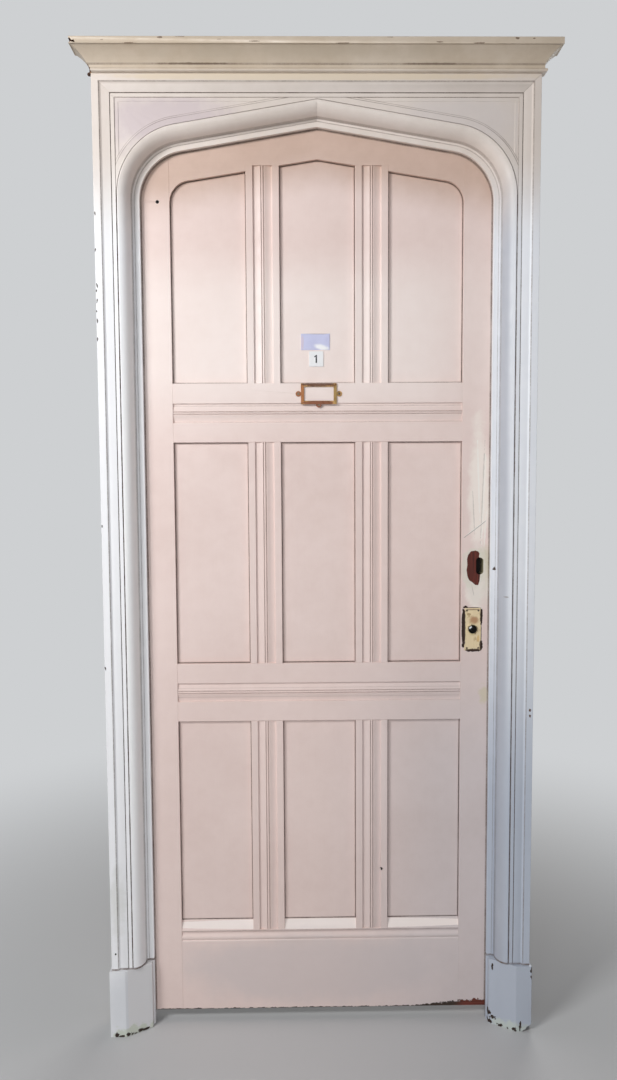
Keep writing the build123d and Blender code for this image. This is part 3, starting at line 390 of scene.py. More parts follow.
# %% Shader group: brushed paint
paint_group, given, result = group(
    "brushed_paint",
    [
        POSITION,
        ("Colour", COLOUR, (0.8, 0.8, 0.8, 1)),
        ("Aged", COLOUR, (0.6, 0.6, 0.6, 1)),
        ("Strokes", VECTOR, (600, 600, 9)),
        ("Unevenness", FLOAT, 0.5),
    ],
    [("Colour", COLOUR), ("Roughness", FLOAT), ("Height", FLOAT)],
)
place = given["Position"]
strokes = noise(paint_group, vector_maths(paint_group, "MULTIPLY", place, given["Strokes"]), 1.0, 3.0, 0.6)
slow = ramp(paint_group, noise(paint_group, place, 2.6, 4.0, 0.55), 0.36, 0.66)
mottle = noise(paint_group, place, 34.0, 3.0, 0.6)
small_share = times(paint_group, ramp(paint_group, mottle, 0.3, 0.75), 0.3)
wander = times(paint_group, times_plus(paint_group, slow, 0.7, small_share), given["Unevenness"])
toned = blend(paint_group, wander, given["Colour"], given["Aged"])
streaked = blend(paint_group, ramp(paint_group, strokes, 0.52, 0.78, 0.0, 0.16), toned, given["Aged"])
paint_group.links.new(streaked, result["Colour"])
paint_group.links.new(ramp(paint_group, mottle, 0.3, 0.7, 0.38, 0.56), result["Roughness"])
sags = times(paint_group, noise(paint_group, place, 16.0, 2.0), 1.1)
paint_group.links.new(times_plus(paint_group, strokes, 0.35, sags), result["Height"])
print("group", paint_group.name, "with", len(paint_group.nodes), "nodes")

# %% [markdown]
# ## Dirt, chips, stains and rubs
#
# Dirt and painted shade gather in corners and along lines: the `dirt` group breaks an even mask up
# with two noises, so a darkened corner comes and goes along its length.
#
# Other wear sits in particular places: a run of chips down the left edge of the frame, a stain under
# the knob. A mark is an ellipsoid at a point on the object, and noise pushes its edge in and out, so
# that it breaks off as paint does instead of ending in a clean oval. The same group serves a chip
# 4 mm long and a rub of half a metre; only the centre, the half-lengths and the raggedness differ.

# %% Shader group: dirt
# This mask carries painted shade in corners, recesses and shadow lines as well as dirt.
shade_and_dirt_group, given, result = group("dirt", [POSITION, ("Amount", FLOAT, 0.0)], [("Mask", FLOAT)])
place = given["Position"]
coarse = ramp(shade_and_dirt_group, noise(shade_and_dirt_group, place, 21.0, 3.0), 0.25, 0.65, 0.62, 1.0)
fine = ramp(shade_and_dirt_group, noise(shade_and_dirt_group, place, 260.0, 3.0, 0.6), 0.3, 0.62, 0.7, 1.0)
broken_up = times(shade_and_dirt_group, times(shade_and_dirt_group, coarse, fine), given["Amount"])
shade_and_dirt_group.links.new(broken_up, result["Mask"])
print("group", shade_and_dirt_group.name, "with", len(shade_and_dirt_group.nodes), "nodes")

# %% Shader group: one mark
mark_group, given, result = group(
    "mark",
    [
        POSITION,
        ("Centre", VECTOR, (0, 0, 0)),
        ("Reach", VECTOR, (0.01, 0.01, 0.01)),
        ("Turn", FLOAT, 0.0),
        ("Ragged", FLOAT, 0.5),
        ("Grain", FLOAT, 160.0),
        ("Softness", FLOAT, 0.1),
    ],
    [("Mask", FLOAT)],
)
offset = vector_maths(mark_group, "SUBTRACT", given["Position"], given["Centre"])
sockets = {"Vector": offset, "Angle": given["Turn"]}
turned = put(mark_group, "ShaderNodeVectorRotate", sockets, rotation_type="Y_AXIS").outputs[0]
scaled = vector_maths(mark_group, "DIVIDE", turned, given["Reach"])
distance = put(mark_group, "ShaderNodeVectorMath", {0: scaled}, operation="LENGTH").outputs["Value"]
edge = minus(mark_group, noise(mark_group, given["Position"], given["Grain"], 4.0, 0.65), 0.5)
pushed = times_plus(mark_group, edge, times(mark_group, given["Ragged"], 3.0), distance)
inner = minus(mark_group, 1.0, given["Softness"])
mark_group.links.new(ramp(mark_group, pushed, inner, 1.0, 1.0, 0.0), result["Mask"])
print("group", mark_group.name, "with", len(mark_group.nodes), "nodes")

# %% Shader group: bare wood
wood_group, given, result = group(
    "bare_wood",
    [
        POSITION,
        ("Light", COLOUR, srgb(120, 84, 60)),
        ("Dark", COLOUR, srgb(52, 34, 26)),
        ("Strokes", VECTOR, (500, 500, 14)),
    ],
    [("Colour", COLOUR), ("Height", FLOAT)],
)
stretched = vector_maths(wood_group, "MULTIPLY", given["Position"], given["Strokes"])
fibres = noise(wood_group, stretched, 1.0, 4.0, 0.7)
figure = blend(wood_group, ramp(wood_group, fibres, 0.3, 0.7), given["Dark"], given["Light"])
wood_group.links.new(figure, result["Colour"])
wood_group.links.new(fibres, result["Height"])
print("group", wood_group.name, "with", len(wood_group.nodes), "nodes")

# %% [markdown]
# A paint is one Principled shader. Its colour starts as brushed paint; marks are laid over it in
# turn, then painted shade and dirt. A stain tints the coat; a chip shows the wood and takes the coat's
# thickness out of the height, so that its edge catches the light.
#
# Painted shade and dirt come from several places. `closed` and `rim` are attributes of the mesh, made
# further down: how shut in a face is, and how near a panel's face is to its edge. `deep` is plain depth
# behind the face of the leaf. Lines give the painted shade and dirt that follow the arch, such as the
# painted shadow where the leaf disappears behind the stop. All that is drawn by place ends behind the
# front, so the back stays clean.

# %% Stains and chips
ALONG = {"z": (620, 620, 10), "x": (10, 620, 620), "all": (240, 240, 240)}
CHIP_DEPTH, WORN_DEPTH = -2.5, -3.0
COAT_BUMP = 0.0006
DIRT_ROUGHNESS, CHIP_ROUGHNESS, WORN_ROUGHNESS = 0.8, 0.85, 0.9


def stain(centre, reach, colour, amount=1.0, turn=0.0, ragged=0.5, grain=160.0, softness=0.1, bare=False):
    """A mark that tints the coat: lengths in millimetres, turn in degrees about Y, colour 0 to 255."""
    sockets = {
        "Centre": [value / 1000 for value in centre],
        "Reach": [value / 1000 for value in reach],
        "Turn": math.radians(turn), "Ragged": ragged, "Grain": grain, "Softness": softness,
    }
    return {"colour": colour and srgb(*colour), "amount": amount, "bare": bare, "sockets": sockets}


def chip(centre, reach, colour=None, **edge):
    """A mark where the coat is gone, down to this colour or else to bare wood."""
    return stain(centre, reach, colour, bare=True, **edge)


def flat_stain(y, place, reach, colour, amount=1.0, **edge):
    """A stain on a face that looks forwards, at this x and z."""
    return stain((place[0], y, place[1]), (reach[0], 6, reach[1]), colour, amount, **edge)


def lay_marks(tree, position, marks, along, shade, height, rough):
    """Lay marks over a coat; give the new colour, height and roughness."""
    wood = None
    for spot in marks:
        mask = call(tree, mark_group, {"Position": position, **spot["sockets"]})["Mask"]
        if spot["amount"] < 1:
            mask = times(tree, mask, spot["amount"])
        under = spot["colour"]
        if spot["bare"]:
            if wood is None and under is None:
                wood = call(tree, wood_group, {"Position": position, "Strokes": ALONG[along]})["Colour"]
            under = under or wood
            height = times_plus(tree, mask, CHIP_DEPTH, height)
            rough = between(tree, mask, rough, CHIP_ROUGHNESS)
        shade = blend(tree, mask, shade, under)
    return shade, height, rough


def attribute(tree, name):
    """A float attribute of the mesh."""
    return put(tree, "ShaderNodeAttribute", attribute_name=name).outputs["Fac"]


def finish_surface(tree, shader, shade, rough, height, bump):
    """Join a coat to its shader."""
    tree.links.new(shade, shader.inputs["Base Color"])
    tree.links.new(rough, shader.inputs["Roughness"])
    bumped = put(tree, "ShaderNodeBump", {"Height": height, "Strength": bump, "Distance": COAT_BUMP})
    tree.links.new(bumped.outputs[0], shader.inputs["Normal"])


print("marks go down to", CHIP_DEPTH, "coats of paint")

# %% Painted shade and dirt at known places
# Colours of the painted shade and dirt in crevices, recesses and along lines.
SHADE_AND_DIRT_COLOUR = srgb(84, 67, 57)
SHADE_AND_DIRT_PALE = srgb(122, 102, 90)
Y_LEAF, Y_PANEL, Y_BACK = 0.0195, 0.0285, 0.064
FRONT_ENDS = (0.031, 0.034)
LINE_CORE = 0.45
FRAME_HALF = 0.506
HEAD_HEIGHT = 2.253


def most(tree, masks):
    """The strongest of several masks."""
    strongest = masks[0]
    for mask in masks[1:]:
        strongest = maths(tree, "MAXIMUM", strongest, mask)
    return strongest


def near_line(tree, value, place, half, amount):
    """A soft line where a value passes a place."""
    near = maths(tree, "ABSOLUTE", minus(tree, value, place))
    return ramp(tree, near, half * LINE_CORE, half, amount, 0.0)


def drawn_shade_and_dirt(tree, position, lines=(), levels=(), rounds=(), deep=None):
    """The mask of painted shade and dirt at known places, on the front only, in a list that is empty if there
    is none.

    Lines are (inset from the arch line, half width, amount, least y), levels (height, half width, amount),
    rounds (inset from the casing's outer edge, half width, amount) and deep (y at none, y at full, amount).
    """
    x, y, z = axes(tree, position)
    drawn = [ramp(tree, y, *deep[:2], 0.0, deep[2])] if deep else []
    if lines:
        inset = call(tree, arch_group, {"Position": position})["Inset"]
        for place, half, amount, least in lines:
            line = near_line(tree, inset, place, half, amount)
            if least is not None:
                line = times(tree, line, maths(tree, "GREATER_THAN", y, least))
            drawn.append(line)
    drawn += [near_line(tree, z, *level) for level in levels]
    if rounds:
        from_side = minus(tree, FRAME_HALF, maths(tree, "ABSOLUTE", x))
        from_edge = maths(tree, "MINIMUM", from_side, minus(tree, HEAD_HEIGHT, z))
        drawn += [near_line(tree, from_edge, *line) for line in rounds]
    return [times(tree, most(tree, drawn), ramp(tree, y, *FRONT_ENDS, 1.0, 0.0))] if drawn else []


print("drawn dirt ends at y", FRONT_ENDS[1])

# %% [markdown]
# The foot of the leaf has been kicked and splashed for years. A ragged line of bare wood runs along
# it, hardly there on the left and 20 mm high at the lock corner, where the wood is red.

# %% Worn foot
LEAF_FOOT = 0.027
WORN_FROM, WORN_TO, WORN_RISE = 0.20, 0.415, 0.017
LINE_DROP, LINE_SWING, MORE_SWING, RISE_SHARE = 0.0035, 0.011, 1.3, 0.2
LINE_BLUR = 0.0006
RED_FROM, RED_TO = 0.33, 0.365
FOOT_WOODS = (((74, 58, 46), (34, 28, 24)), ((128, 62, 48), (62, 28, 22)))


def worn_foot(tree, position, shade, height, rough):
    """Lay the bare wood along the foot over a coat; give the new colour, height and roughness."""
    x, y, z = axes(tree, position)
    worn = ramp(tree, x, WORN_FROM, WORN_TO, 0.0, WORN_RISE)
    ragged = noise(tree, position, 95.0, 4.0, 0.7)
    line = times_plus(tree, ragged, times_plus(tree, worn, MORE_SWING, LINE_SWING), LEAF_FOOT - LINE_DROP)
    over_line = minus(tree, z, times_plus(tree, worn, RISE_SHARE, line))
    bare = ramp(tree, over_line, -LINE_BLUR, LINE_BLUR, 1.0, 0.0)
    sockets = {"Position": position, "Strokes": ALONG["x"]}
    dark_wood, red_wood = (
        call(tree, wood_group, {**sockets, "Light": srgb(*light), "Dark": srgb(*dark)})["Colour"]
        for light, dark in FOOT_WOODS
    )
    shade = blend(tree, bare, shade, blend(tree, ramp(tree, x, RED_FROM, RED_TO), dark_wood, red_wood))
    return shade, times_plus(tree, bare, WORN_DEPTH, height), between(tree, bare, rough, WORN_ROUGHNESS)


print("worn foot up to", 1000 * WORN_RISE, "mm higher at the lock corner")

# %% The whole coat
# Shut-in faces and the rims of the panels get painted shade, with dirt: darker the more a face is shut in,
# and darker towards a panel's edge.
CLOSED_FROM, CLOSED_TO, CLOSED_SHADE_AND_DIRT = 0.50, 0.78, 0.95
RIM_FALL, RIM_SHADE_AND_DIRT = 2.2, 0.68
PAINT_BUMP = 0.35


def paint(name, tone, along, marks=(), foot=False, unevenness=0.5, **places):
    """Brushed gloss paint with its own marks, and painted shade and dirt in what is shut in and at known
    places.
    """
    material, tree, shader = fresh_material(name)
    position = own_place(tree)
    tones = call(tree, TONES[tone], {"Position": position})
    sockets = {"Colour": tones["Colour"], "Aged": tones["Aged"], "Strokes": ALONG[along]}
    coat = call(tree, paint_group, {"Position": position, "Unevenness": unevenness, **sockets})
    shade, height, rough = lay_marks(
        tree, position, marks, along, coat["Colour"], coat["Height"], coat["Roughness"]
    )
    closed = ramp(tree, attribute(tree, "closed"), CLOSED_FROM, CLOSED_TO, 0.0, CLOSED_SHADE_AND_DIRT)
    rim = times(tree, maths(tree, "POWER", attribute(tree, "rim"), RIM_FALL), RIM_SHADE_AND_DIRT)
    amount = most(tree, [closed, rim] + drawn_shade_and_dirt(tree, position, **places))
    mask = call(tree, shade_and_dirt_group, {"Position": position, "Amount": amount})["Mask"]
    shade = blend(tree, mask, shade, blend(tree, noise(tree, position, 60.0), SHADE_AND_DIRT_COLOUR, SHADE_AND_DIRT_PALE))
    rough = between(tree, mask, rough, DIRT_ROUGHNESS)
    if foot:
        shade, height, rough = worn_foot(tree, position, shade, height, rough)
    finish_surface(tree, shader, shade, rough, height, PAINT_BUMP)
    return material


print("faces take dirt from", CLOSED_FROM, "shut in")

# %% [markdown]
# The lock stile carries the story of the door: hands have rubbed the paint pale above the lock, keys
# have scratched it, and a dark line stands round the knob plate where the coat broke away from it.

# %% Paint of the leaf
# Painted shade with dirt: a painted shadow where the leaf goes behind the stop, recess walls darker deeper
# behind the face, dark lines of painted shade on the rails' mouldings, and lines above and below the
# weathering at the foot.
SHADOW_AND_DIRT_BEHIND_STOP = [(0.0445, 0.0042, 0.8, None)]
LEAF_DEEP_SHADE_AND_DIRT = (0.0252, 0.0284, 0.7)
RAIL_LINES = [
    (1.5208, 0.0013, 0.42), (1.5051, 0.0013, 0.35), (1.4832, 0.0013, 0.32),
    (0.8403, 0.0013, 0.22), (0.8181, 0.0013, 0.22),
]
FOOT_LINES = [(0.2555, 0.0016, 0.8), (0.2292, 0.0014, 0.55)]
DARK_WOOD = (52, 38, 31)
OLIVE = (206, 200, 168)
RUBBED = (252, 246, 238)
WHITENED = (252, 242, 232)
EDGE_WOOD = (46, 28, 20)
STONE = (128, 116, 108)
HOLE_SHADE = (38, 33, 31)

scuffs = [
    flat_stain(19.5, place, reach, colour, amount, turn=turn, ragged=ragged, grain=grain, softness=softness)
    for place, reach, colour, amount, turn, ragged, grain, softness in (
        ((386, 1310), (30, 215), WHITENED, 0.85, 0, 0.45, 12, 0.6),
        ((384, 1345), (2.2, 92), RUBBED, 0.8, 2, 0.6, 90, 0.1),
        ((396, 1290), (2.6, 120), RUBBED, 0.6, -2, 0.8, 70, 0.1),
        ((394, 1310), (1.6, 120), STONE, 0.28, -2, 0.9, 70, 0.1),
        ((373, 1262), (1.4, 60), STONE, 0.30, 3, 0.9, 80, 0.1),
        ((401, 1222), (2.4, 46), RUBBED, 0.6, -3, 0.8, 90, 0.1),
        ((379, 1226), (34, 1.2), STONE, 0.75, 37.6, 0.35, 120, 0.1),
        ((381, 1229), (33, 1.2), RUBBED, 0.8, 37.6, 0.35, 120, 0.1),
        ((396, 1130), (26, 62), OLIVE, 0.8, 0, 0.6, 26, 0.5),
        ((378, 1062), (28, 46), WHITENED, 0.85, 0, 0.6, 20, 0.6),
        ((386, 1108), (40, 92), (234, 226, 216), 0.75, 0, 0.35, 18, 0.5),
        ((402, 818), (16, 30), (206, 198, 160), 0.5, 0, 0.6, 40, 0.6),
        ((372, 1078), (1.2, 17), STONE, 0.3, 12, 0.5, 120, 0.1),
        ((350, 991), (1.2, 9), DARK_WOOD, 0.7, 0, 0.7, 160, 0.1),
        ((372, 1130), (31, 52), (226, 222, 206), 0.5, 0, 0.2, 60, 0.12),
    )
]
round_plate = [
    chip((across, 19.5, height), (reach, 4, rise), EDGE_WOOD, ragged=ragged, grain=grain, softness=0.06)
    for across, height, reach, rise, ragged, grain in (
        (350.2, 988, 4.4, 47, 0.35, 110), (349.6, 942, 3.0, 6, 0.6, 160), (355.5, 1034.5, 5.0, 3.6, 0.6, 150),
        (393.6, 1011, 3.2, 22, 0.5, 120), (393.0, 975, 1.5, 26, 0.5, 120), (393.6, 941, 4.2, 12, 0.5, 130),
        (374, 928.6, 20, 3.0, 0.6, 150), (372, 1033.4, 20, 1.2, 0.4, 150),
    )
]
# Painted shade: dark rings that widen the holes in the hinge stile and a muntin.
hole_shade_rims = [
    flat_stain(19.5, place, (reach, reach), HOLE_SHADE, ragged=0.25, grain=200, softness=0.2)
    for place, reach in (((-372, 1992), 4.6), ((150.5, 383.5), 4.4))
]
foot_highlight_and_stain = [
    # A painted highlight on the weathering, which faces up; below it a greyer tone low on the rail.
    stain((0, 24, 242.5), (450, 9, 13), (255, 243, 237), 0.95, ragged=0.05),
    stain((0, 19.5, 130), (470, 12, 118), (204, 196, 196), 0.5, ragged=0.3, grain=6, softness=0.6),
]
behind = {"lines": SHADOW_AND_DIRT_BEHIND_STOP, "deep": LEAF_DEEP_SHADE_AND_DIRT}
leaf_upright = paint("leaf_paint_upright", "leaf_tone", "z", hole_shade_rims, foot=True, **behind)
leaf_lock = paint(
    "leaf_paint_lock_stile", "leaf_tone", "z", scuffs + round_plate, foot=True, unevenness=0.6, **behind
)
leaf_level = paint("leaf_paint_level", "leaf_tone", "x", levels=RAIL_LINES, **behind)
leaf_foot = paint("leaf_paint_foot", "leaf_tone", "x", foot_highlight_and_stain, foot=True, levels=FOOT_LINES)
leaf_panel = paint("leaf_paint_panel", "leaf_tone", "z", unevenness=0.65)
print(len(scuffs), "scuffs and", len(round_plate), "chips on the lock stile")

# %% [markdown]
# The frame's chips sit where things knock against it: down the left edge, along the cornice's top
# fillet, and at the feet of the plinths, where wet has lifted the paint and left a green-white crust.

# %% Paint of the frame's uprights and head
# Painted shade with dirt: dark lines in the quirks and fillets of the mouldings and along the roll's outer
# edge, a painted shadow where the stop meets the leaf, and a dark line over the plinths.
STOP_BACK_SHADOW_AND_DIRT = (0.045, 0.004, 0.75, 0.0125)
FILLET_LINES = [
    (0.0332, 0.0012, 0.4, None), (0.0278, 0.0012, 0.4, None), (0.0004, 0.0021, 0.95, None), STOP_BACK_SHADOW_AND_DIRT,
]
SPANDREL_LINES = [(-0.0132, 0.0013, 0.6, None), (-0.0172, 0.0012, 0.45, None)]
CASING_ROUNDS = [(0.0166, 0.0017, 0.65), (0.0402, 0.0014, 0.75), (0.0498, 0.0013, 0.6)]
OVER_PLINTH = [(0.1668, 0.0038, 1.0)]

left_chips = [
    chip((across, -37.5, height), (1.5, 5, reach), (88, 84, 82), turn=tilt, ragged=0.6, grain=240)
    for across, height, reach, tilt in (
        (-503.5, 1948, 5, 8), (-504.5, 1867, 4, -10), (-502.5, 1788, 6, 14), (-504, 1776, 3.5, 0),
        (-503, 1754, 5, -12), (-504.5, 1730, 3, 20), (-503.5, 1709, 6, 6), (-504.5, 1667, 5, -8),
        (-504, 1240, 4, 0), (-504, 905, 5, 10),
    )
]
left_marks_and_roll_highlight = left_chips + [
    # Painted light: a white mark that lightens the shaded side of the left roll.
    stain((-441, -10, 1000), (19, 60, 1000), (255, 255, 255), ragged=0.05, grain=6, softness=0.4),
    chip((-495.7, -38, 206.6), (2.6, 3, 2.6), (38, 34, 34), ragged=0.2, softness=0.3),
    stain((-486, -40, 330), (26, 12, 130), (208, 208, 200), 0.4, ragged=0.6, grain=12, softness=0.7),
]
right_marks = [
    chip((498.6, -38, 796), (2.6, 3, 4), ragged=0.6, grain=140, softness=0.05),
    chip((498.8, -38, 782), (2.2, 3, 3), ragged=0.6, grain=140, softness=0.05),
    chip((420.5, 12, 1130), (4.2, 12, 4.6), (92, 80, 74), ragged=0.9, grain=240, softness=0.15),
    stain((440.9, -28, 1065.9), (7, 8, 1.6), STONE, 0.6, grain=120),
    stain((424, -18, 1324), (1.2, 6, 76), STONE, 0.35, ragged=0.8, grain=60),
]
head_marks = [
    chip((293, -38, 2210.4), (66, 4, 1.3), (70, 54, 44), ragged=0.35, grain=60, softness=0.2),
    stain((0, -38, 2246), (560, 12, 10), (220, 204, 180), 0.75, ragged=0.3, grain=14, softness=0.4),
]
spandrel_marks = [
    stain(centre, reach, colour, amount, ragged=0.4, grain=8, softness=0.6)
    for centre, reach, colour, amount in (
        ((-350, -31, 2150), (210, 20, 90), (203, 189, 191), 0.85),
        ((330, -31, 2150), (190, 20, 80), (216, 207, 204), 0.6),
    )
]
mouldings = {"lines": FILLET_LINES, "rounds": CASING_ROUNDS}
jamb_left, jamb_right = (
    paint("jamb_paint_" + side, "frame_tone", "z", marks, levels=OVER_PLINTH, **mouldings)
    for side, marks in (("left", left_marks_and_roll_highlight), ("right", right_marks))
)
head_paint = paint("head_paint", "frame_tone", "x", head_marks, unevenness=0.6, **mouldings)
spandrel_paint = paint(
    "spandrel_paint", "frame_tone", "x", spandrel_marks, unevenness=0.6, lines=SPANDREL_LINES
)
print(len(left_chips), "chips down the left edge")

# %% Paint of the cornice and the plinths
# Painted shade with dirt: dark lines at the foot of the cyma and in the quirk above the bed.
CORNICE_LEVELS = [(2.2698, 0.0030, 0.5), (2.2609, 0.0014, 0.8)]
BED_SHADE = (104, 86, 66)

cornice_marks_and_shade = [
    stain((-266, -46, 2270.5), (120, 8, 2.6), BED_SHADE, 0.8, grain=40, softness=0.6),
    stain((262, -46, 2270.5), (100, 8, 2.4), BED_SHADE, 0.7, grain=40, softness=0.6),
    # Painted shade with grime: a darker band across the cyma.
    stain((0, -60, 2290), (520, 30, 16), (190, 176, 156), 0.5, ragged=0.8, grain=9, softness=0.8),
] + [
    chip(
        (across, -76, height), (reach, 3, rise), (112, 90, 72),
        ragged=0.8, grain=190, softness=0.15, amount=amount,
    )
    for across, height, reach, rise, amount in (
        (-344, 2310, 6, 2.0, 0.8), (-300, 2312, 9, 1.2, 0.6), (-137, 2302, 11, 1.4, 0.7),
        (-214, 2306, 5, 1.0, 0.5), (269, 2301, 8, 1.4, 0.8), (357, 2299, 13, 1.3, 0.7),
        (440, 2309, 5, 2.2, 0.9), (476, 2309, 4, 1.6, 0.9), (60, 2298.5, 16, 1.2, 0.7),
        (-410, 2298.5, 14, 1.3, 0.7), (160, 2311, 7, 1.0, 0.5), (-470, 2305, 5, 1.2, 0.6),
    )
]
plinth_shade_and_marks = [
    # The first two stains are painted shade: the right plinth darker and bluer, the left a little darker,
    # where the light falls off low down.
    stain((460, -10, 80), (110, 90, 150), (186, 193, 205), 0.95, ragged=0.2, grain=6, softness=0.5),
    stain((-460, -10, 80), (110, 90, 150), (214, 217, 222), 0.7, ragged=0.2, grain=6, softness=0.5),
    stain((-430, -12, 80), (45, 60, 500), (228, 227, 228), 0.9, ragged=0.0, softness=0.08),
    stain((-462, -30, 4), (60, 60, 24), (206, 212, 196), 0.85, ragged=0.7, grain=60, softness=0.5),
    stain((462, -30, 4), (60, 60, 22), (204, 212, 202), 0.75, ragged=0.7, grain=60, softness=0.5),
] + [
    chip((across, y, height), (reach, 14, rise), DARK_WOOD, ragged=0.9, grain=150, softness=0.05)
    for across, y, height, reach, rise in (
        (-495, -43, 7, 5, 5), (-483, -43, 3, 7, 3), (-468, -43, 6, 6, 4.5), (-455, -43, 2.5, 9, 3.5),
        (-441, -32, 5, 6, 5), (-428, -18, 3, 9, 4), (421.7, -6, 147, 3, 8), (414, 0, 28, 7, 8),
        (424, -8, 18, 8, 6), (437, -30, 4, 8, 5), (455, -43, 3, 8, 4), (470, -43, 5, 6, 5),
        (484, -43, 14, 3, 12), (509.9, -43, 138, 3, 5), (511, -43, 156, 4, 7), (418, 0, 5, 9, 6),
    )
]
cornice_paint = paint(
    "cornice_paint", "frame_tone", "x", cornice_marks_and_shade, unevenness=0.8, levels=CORNICE_LEVELS
)
plinth_paint = paint("plinth_paint", "frame_tone", "z", plinth_shade_and_marks)
print(len(bpy.data.materials), "materials so far")

# %% [markdown]
# ## Wood, metal and enamel
#
# Where the paint is gone the wood is old: red-brown in the torn patch at the missing lock. Inside the
# holes it is made nearly black, painted shade where little light gets in. The backs that stood
# against the wall were never painted. The metal is brass, steel and iron, each a clean colour with
# tarnish over it in patches.

# %% Bare wood
GRAIN_STRENGTH, GRAIN_BUMP = 0.5, 0.0008


def timber(name, light, dark, along="z"):
    """Bare wood."""
    material, tree, shader = fresh_material(name)
    position = own_place(tree)
    sockets = {"Position": position, "Strokes": ALONG[along], "Light": srgb(*light), "Dark": srgb(*dark)}
    wood = call(tree, wood_group, sockets)
    shader.inputs["Roughness"].default_value = 0.8
    tree.links.new(wood["Colour"], shader.inputs["Base Color"])
    grain = {"Height": wood["Height"], "Strength": GRAIN_STRENGTH, "Distance": GRAIN_BUMP}
    tree.links.new(put(tree, "ShaderNodeBump", grain).outputs[0], shader.inputs["Normal"])
    return material


bare_timber = timber("bare_softwood", (176, 138, 98), (132, 94, 62))
torn_wood = timber("torn_wood", (112, 46, 33), (58, 22, 16))
broken_wood = timber("broken_wood", (112, 76, 56), (54, 36, 28))
# Painted shade: near-black wood for the walls of the holes and the shaded walls of the slot.
hole_wall_shade = timber("hole_wall_shade", (30, 23, 19), (16, 12, 10))
slot_wood = timber("slot_wall_wood", (172, 164, 128), (112, 104, 78))
print(len(bpy.data.materials), "materials so far")

# %% Metals
METAL_CLOSED = (0.45, 0.75)
TARNISH_FROM, TARNISH_TO = 0.72, 1.0
METAL_ROUGHNESS = (0.32, 0.48)
TARNISH_ROUGHER = 0.25
METAL_BUMP = 0.25


def metal(name, clean, tarnish, metallic=1.0, spread=0.5, along="all", marks=(), grain=120.0):
    """Old metal: a clean colour with this spread of tarnish, and marks."""
    material, tree, shader = fresh_material(name)
    clean, tarnish = srgb(*clean), srgb(*tarnish)
    position = own_place(tree)
    patches = noise(tree, position, grain, 4.0, 0.6)
    stretched = vector_maths(tree, "MULTIPLY", position, [3 * value for value in ALONG[along]])
    scratches = noise(tree, stretched, 1.0, 2.0, 0.6)
    closed = ramp(tree, attribute(tree, "closed"), *METAL_CLOSED)
    worn = ramp(tree, patches, TARNISH_FROM - 0.5 * spread, TARNISH_TO - 0.5 * spread)
    tarnished = maths(tree, "MAXIMUM", worn, closed)
    shade = blend(tree, tarnished, clean, tarnish)
    shade = blend(tree, ramp(tree, scratches, 0.5, 0.8, 0.0, 0.35), shade, tarnish)
    polish = ramp(tree, scratches, 0.3, 0.7, *METAL_ROUGHNESS)
    rough = times_plus(tree, tarnished, TARNISH_ROUGHER, polish)
    height = times_plus(tree, patches, 0.5, times(tree, scratches, 0.25))
    shade, height, rough = lay_marks(tree, position, marks, "all", shade, height, rough)
    shader.inputs["Metallic"].default_value = metallic
    finish_surface(tree, shader, shade, rough, height, METAL_BUMP)
    return material


forend_brass = metal("forend_brass", (214, 180, 104), (118, 92, 52), metallic=0.9, along="z")
small_steel = metal("small_screw_steel", (120, 104, 84), (58, 46, 38), metallic=0.5, spread=0.6)
screw_steel = metal("screw_steel", (168, 166, 160), (92, 74, 60), metallic=0.9)
hinge_steel = metal(
    "hinge_steel", (186, 182, 176), (112, 92, 78), metallic=0.75, spread=0.6, along="z"
)
latch_steel = metal(
    "latch_steel", (176, 172, 160), (96, 82, 66), metallic=0.95, spread=0.4, along="x"
)
print(len(bpy.data.materials), "materials so far")

# %% Knob plate and card frame
PLATE_EDGE = (70, 52, 40)

plate_marks = [
    flat_stain(y, place, reach, colour, amount, turn=turn, ragged=ragged, grain=grain, softness=softness)
    for y, place, reach, colour, amount, turn, ragged, grain, softness in (
        (17.5, (352.8, 985), (2.2, 50), PLATE_EDGE, 1.0, 0, 0.6, 110, 0.1),
        (17.5, (392.6, 1012), (2.4, 20), PLATE_EDGE, 1.0, 0, 0.7, 120, 0.1),
        (17.5, (392.4, 943), (3.4, 12), PLATE_EDGE, 1.0, 0, 0.7, 120, 0.1),
        (17.5, (374, 930), (20, 3.4), PLATE_EDGE, 1.0, 0, 0.7, 140, 0.1),
        (17.5, (372.5, 1029), (18, 1.4), (120, 90, 62), 0.8, 0, 0.5, 140, 0.1),
        (17.5, (376, 1004), (15, 13), (172, 128, 92), 0.9, 0, 0.35, 60, 0.6),
        (16, (372.5, 981), (13.6, 13.6), (116, 98, 68), 1.0, 0, 0.3, 160, 0.25),
        (16, (368, 972), (12, 5), (214, 196, 152), 0.8, -30, 0.3, 160, 0.5),
        (17.5, (386, 958), (4, 12), (206, 166, 100), 0.7, 0, 0.5, 90, 0.5),
        (17.5, (363, 1018), (5, 3), (150, 120, 78), 0.7, 0, 0.9, 160, 0.1),
    )
]
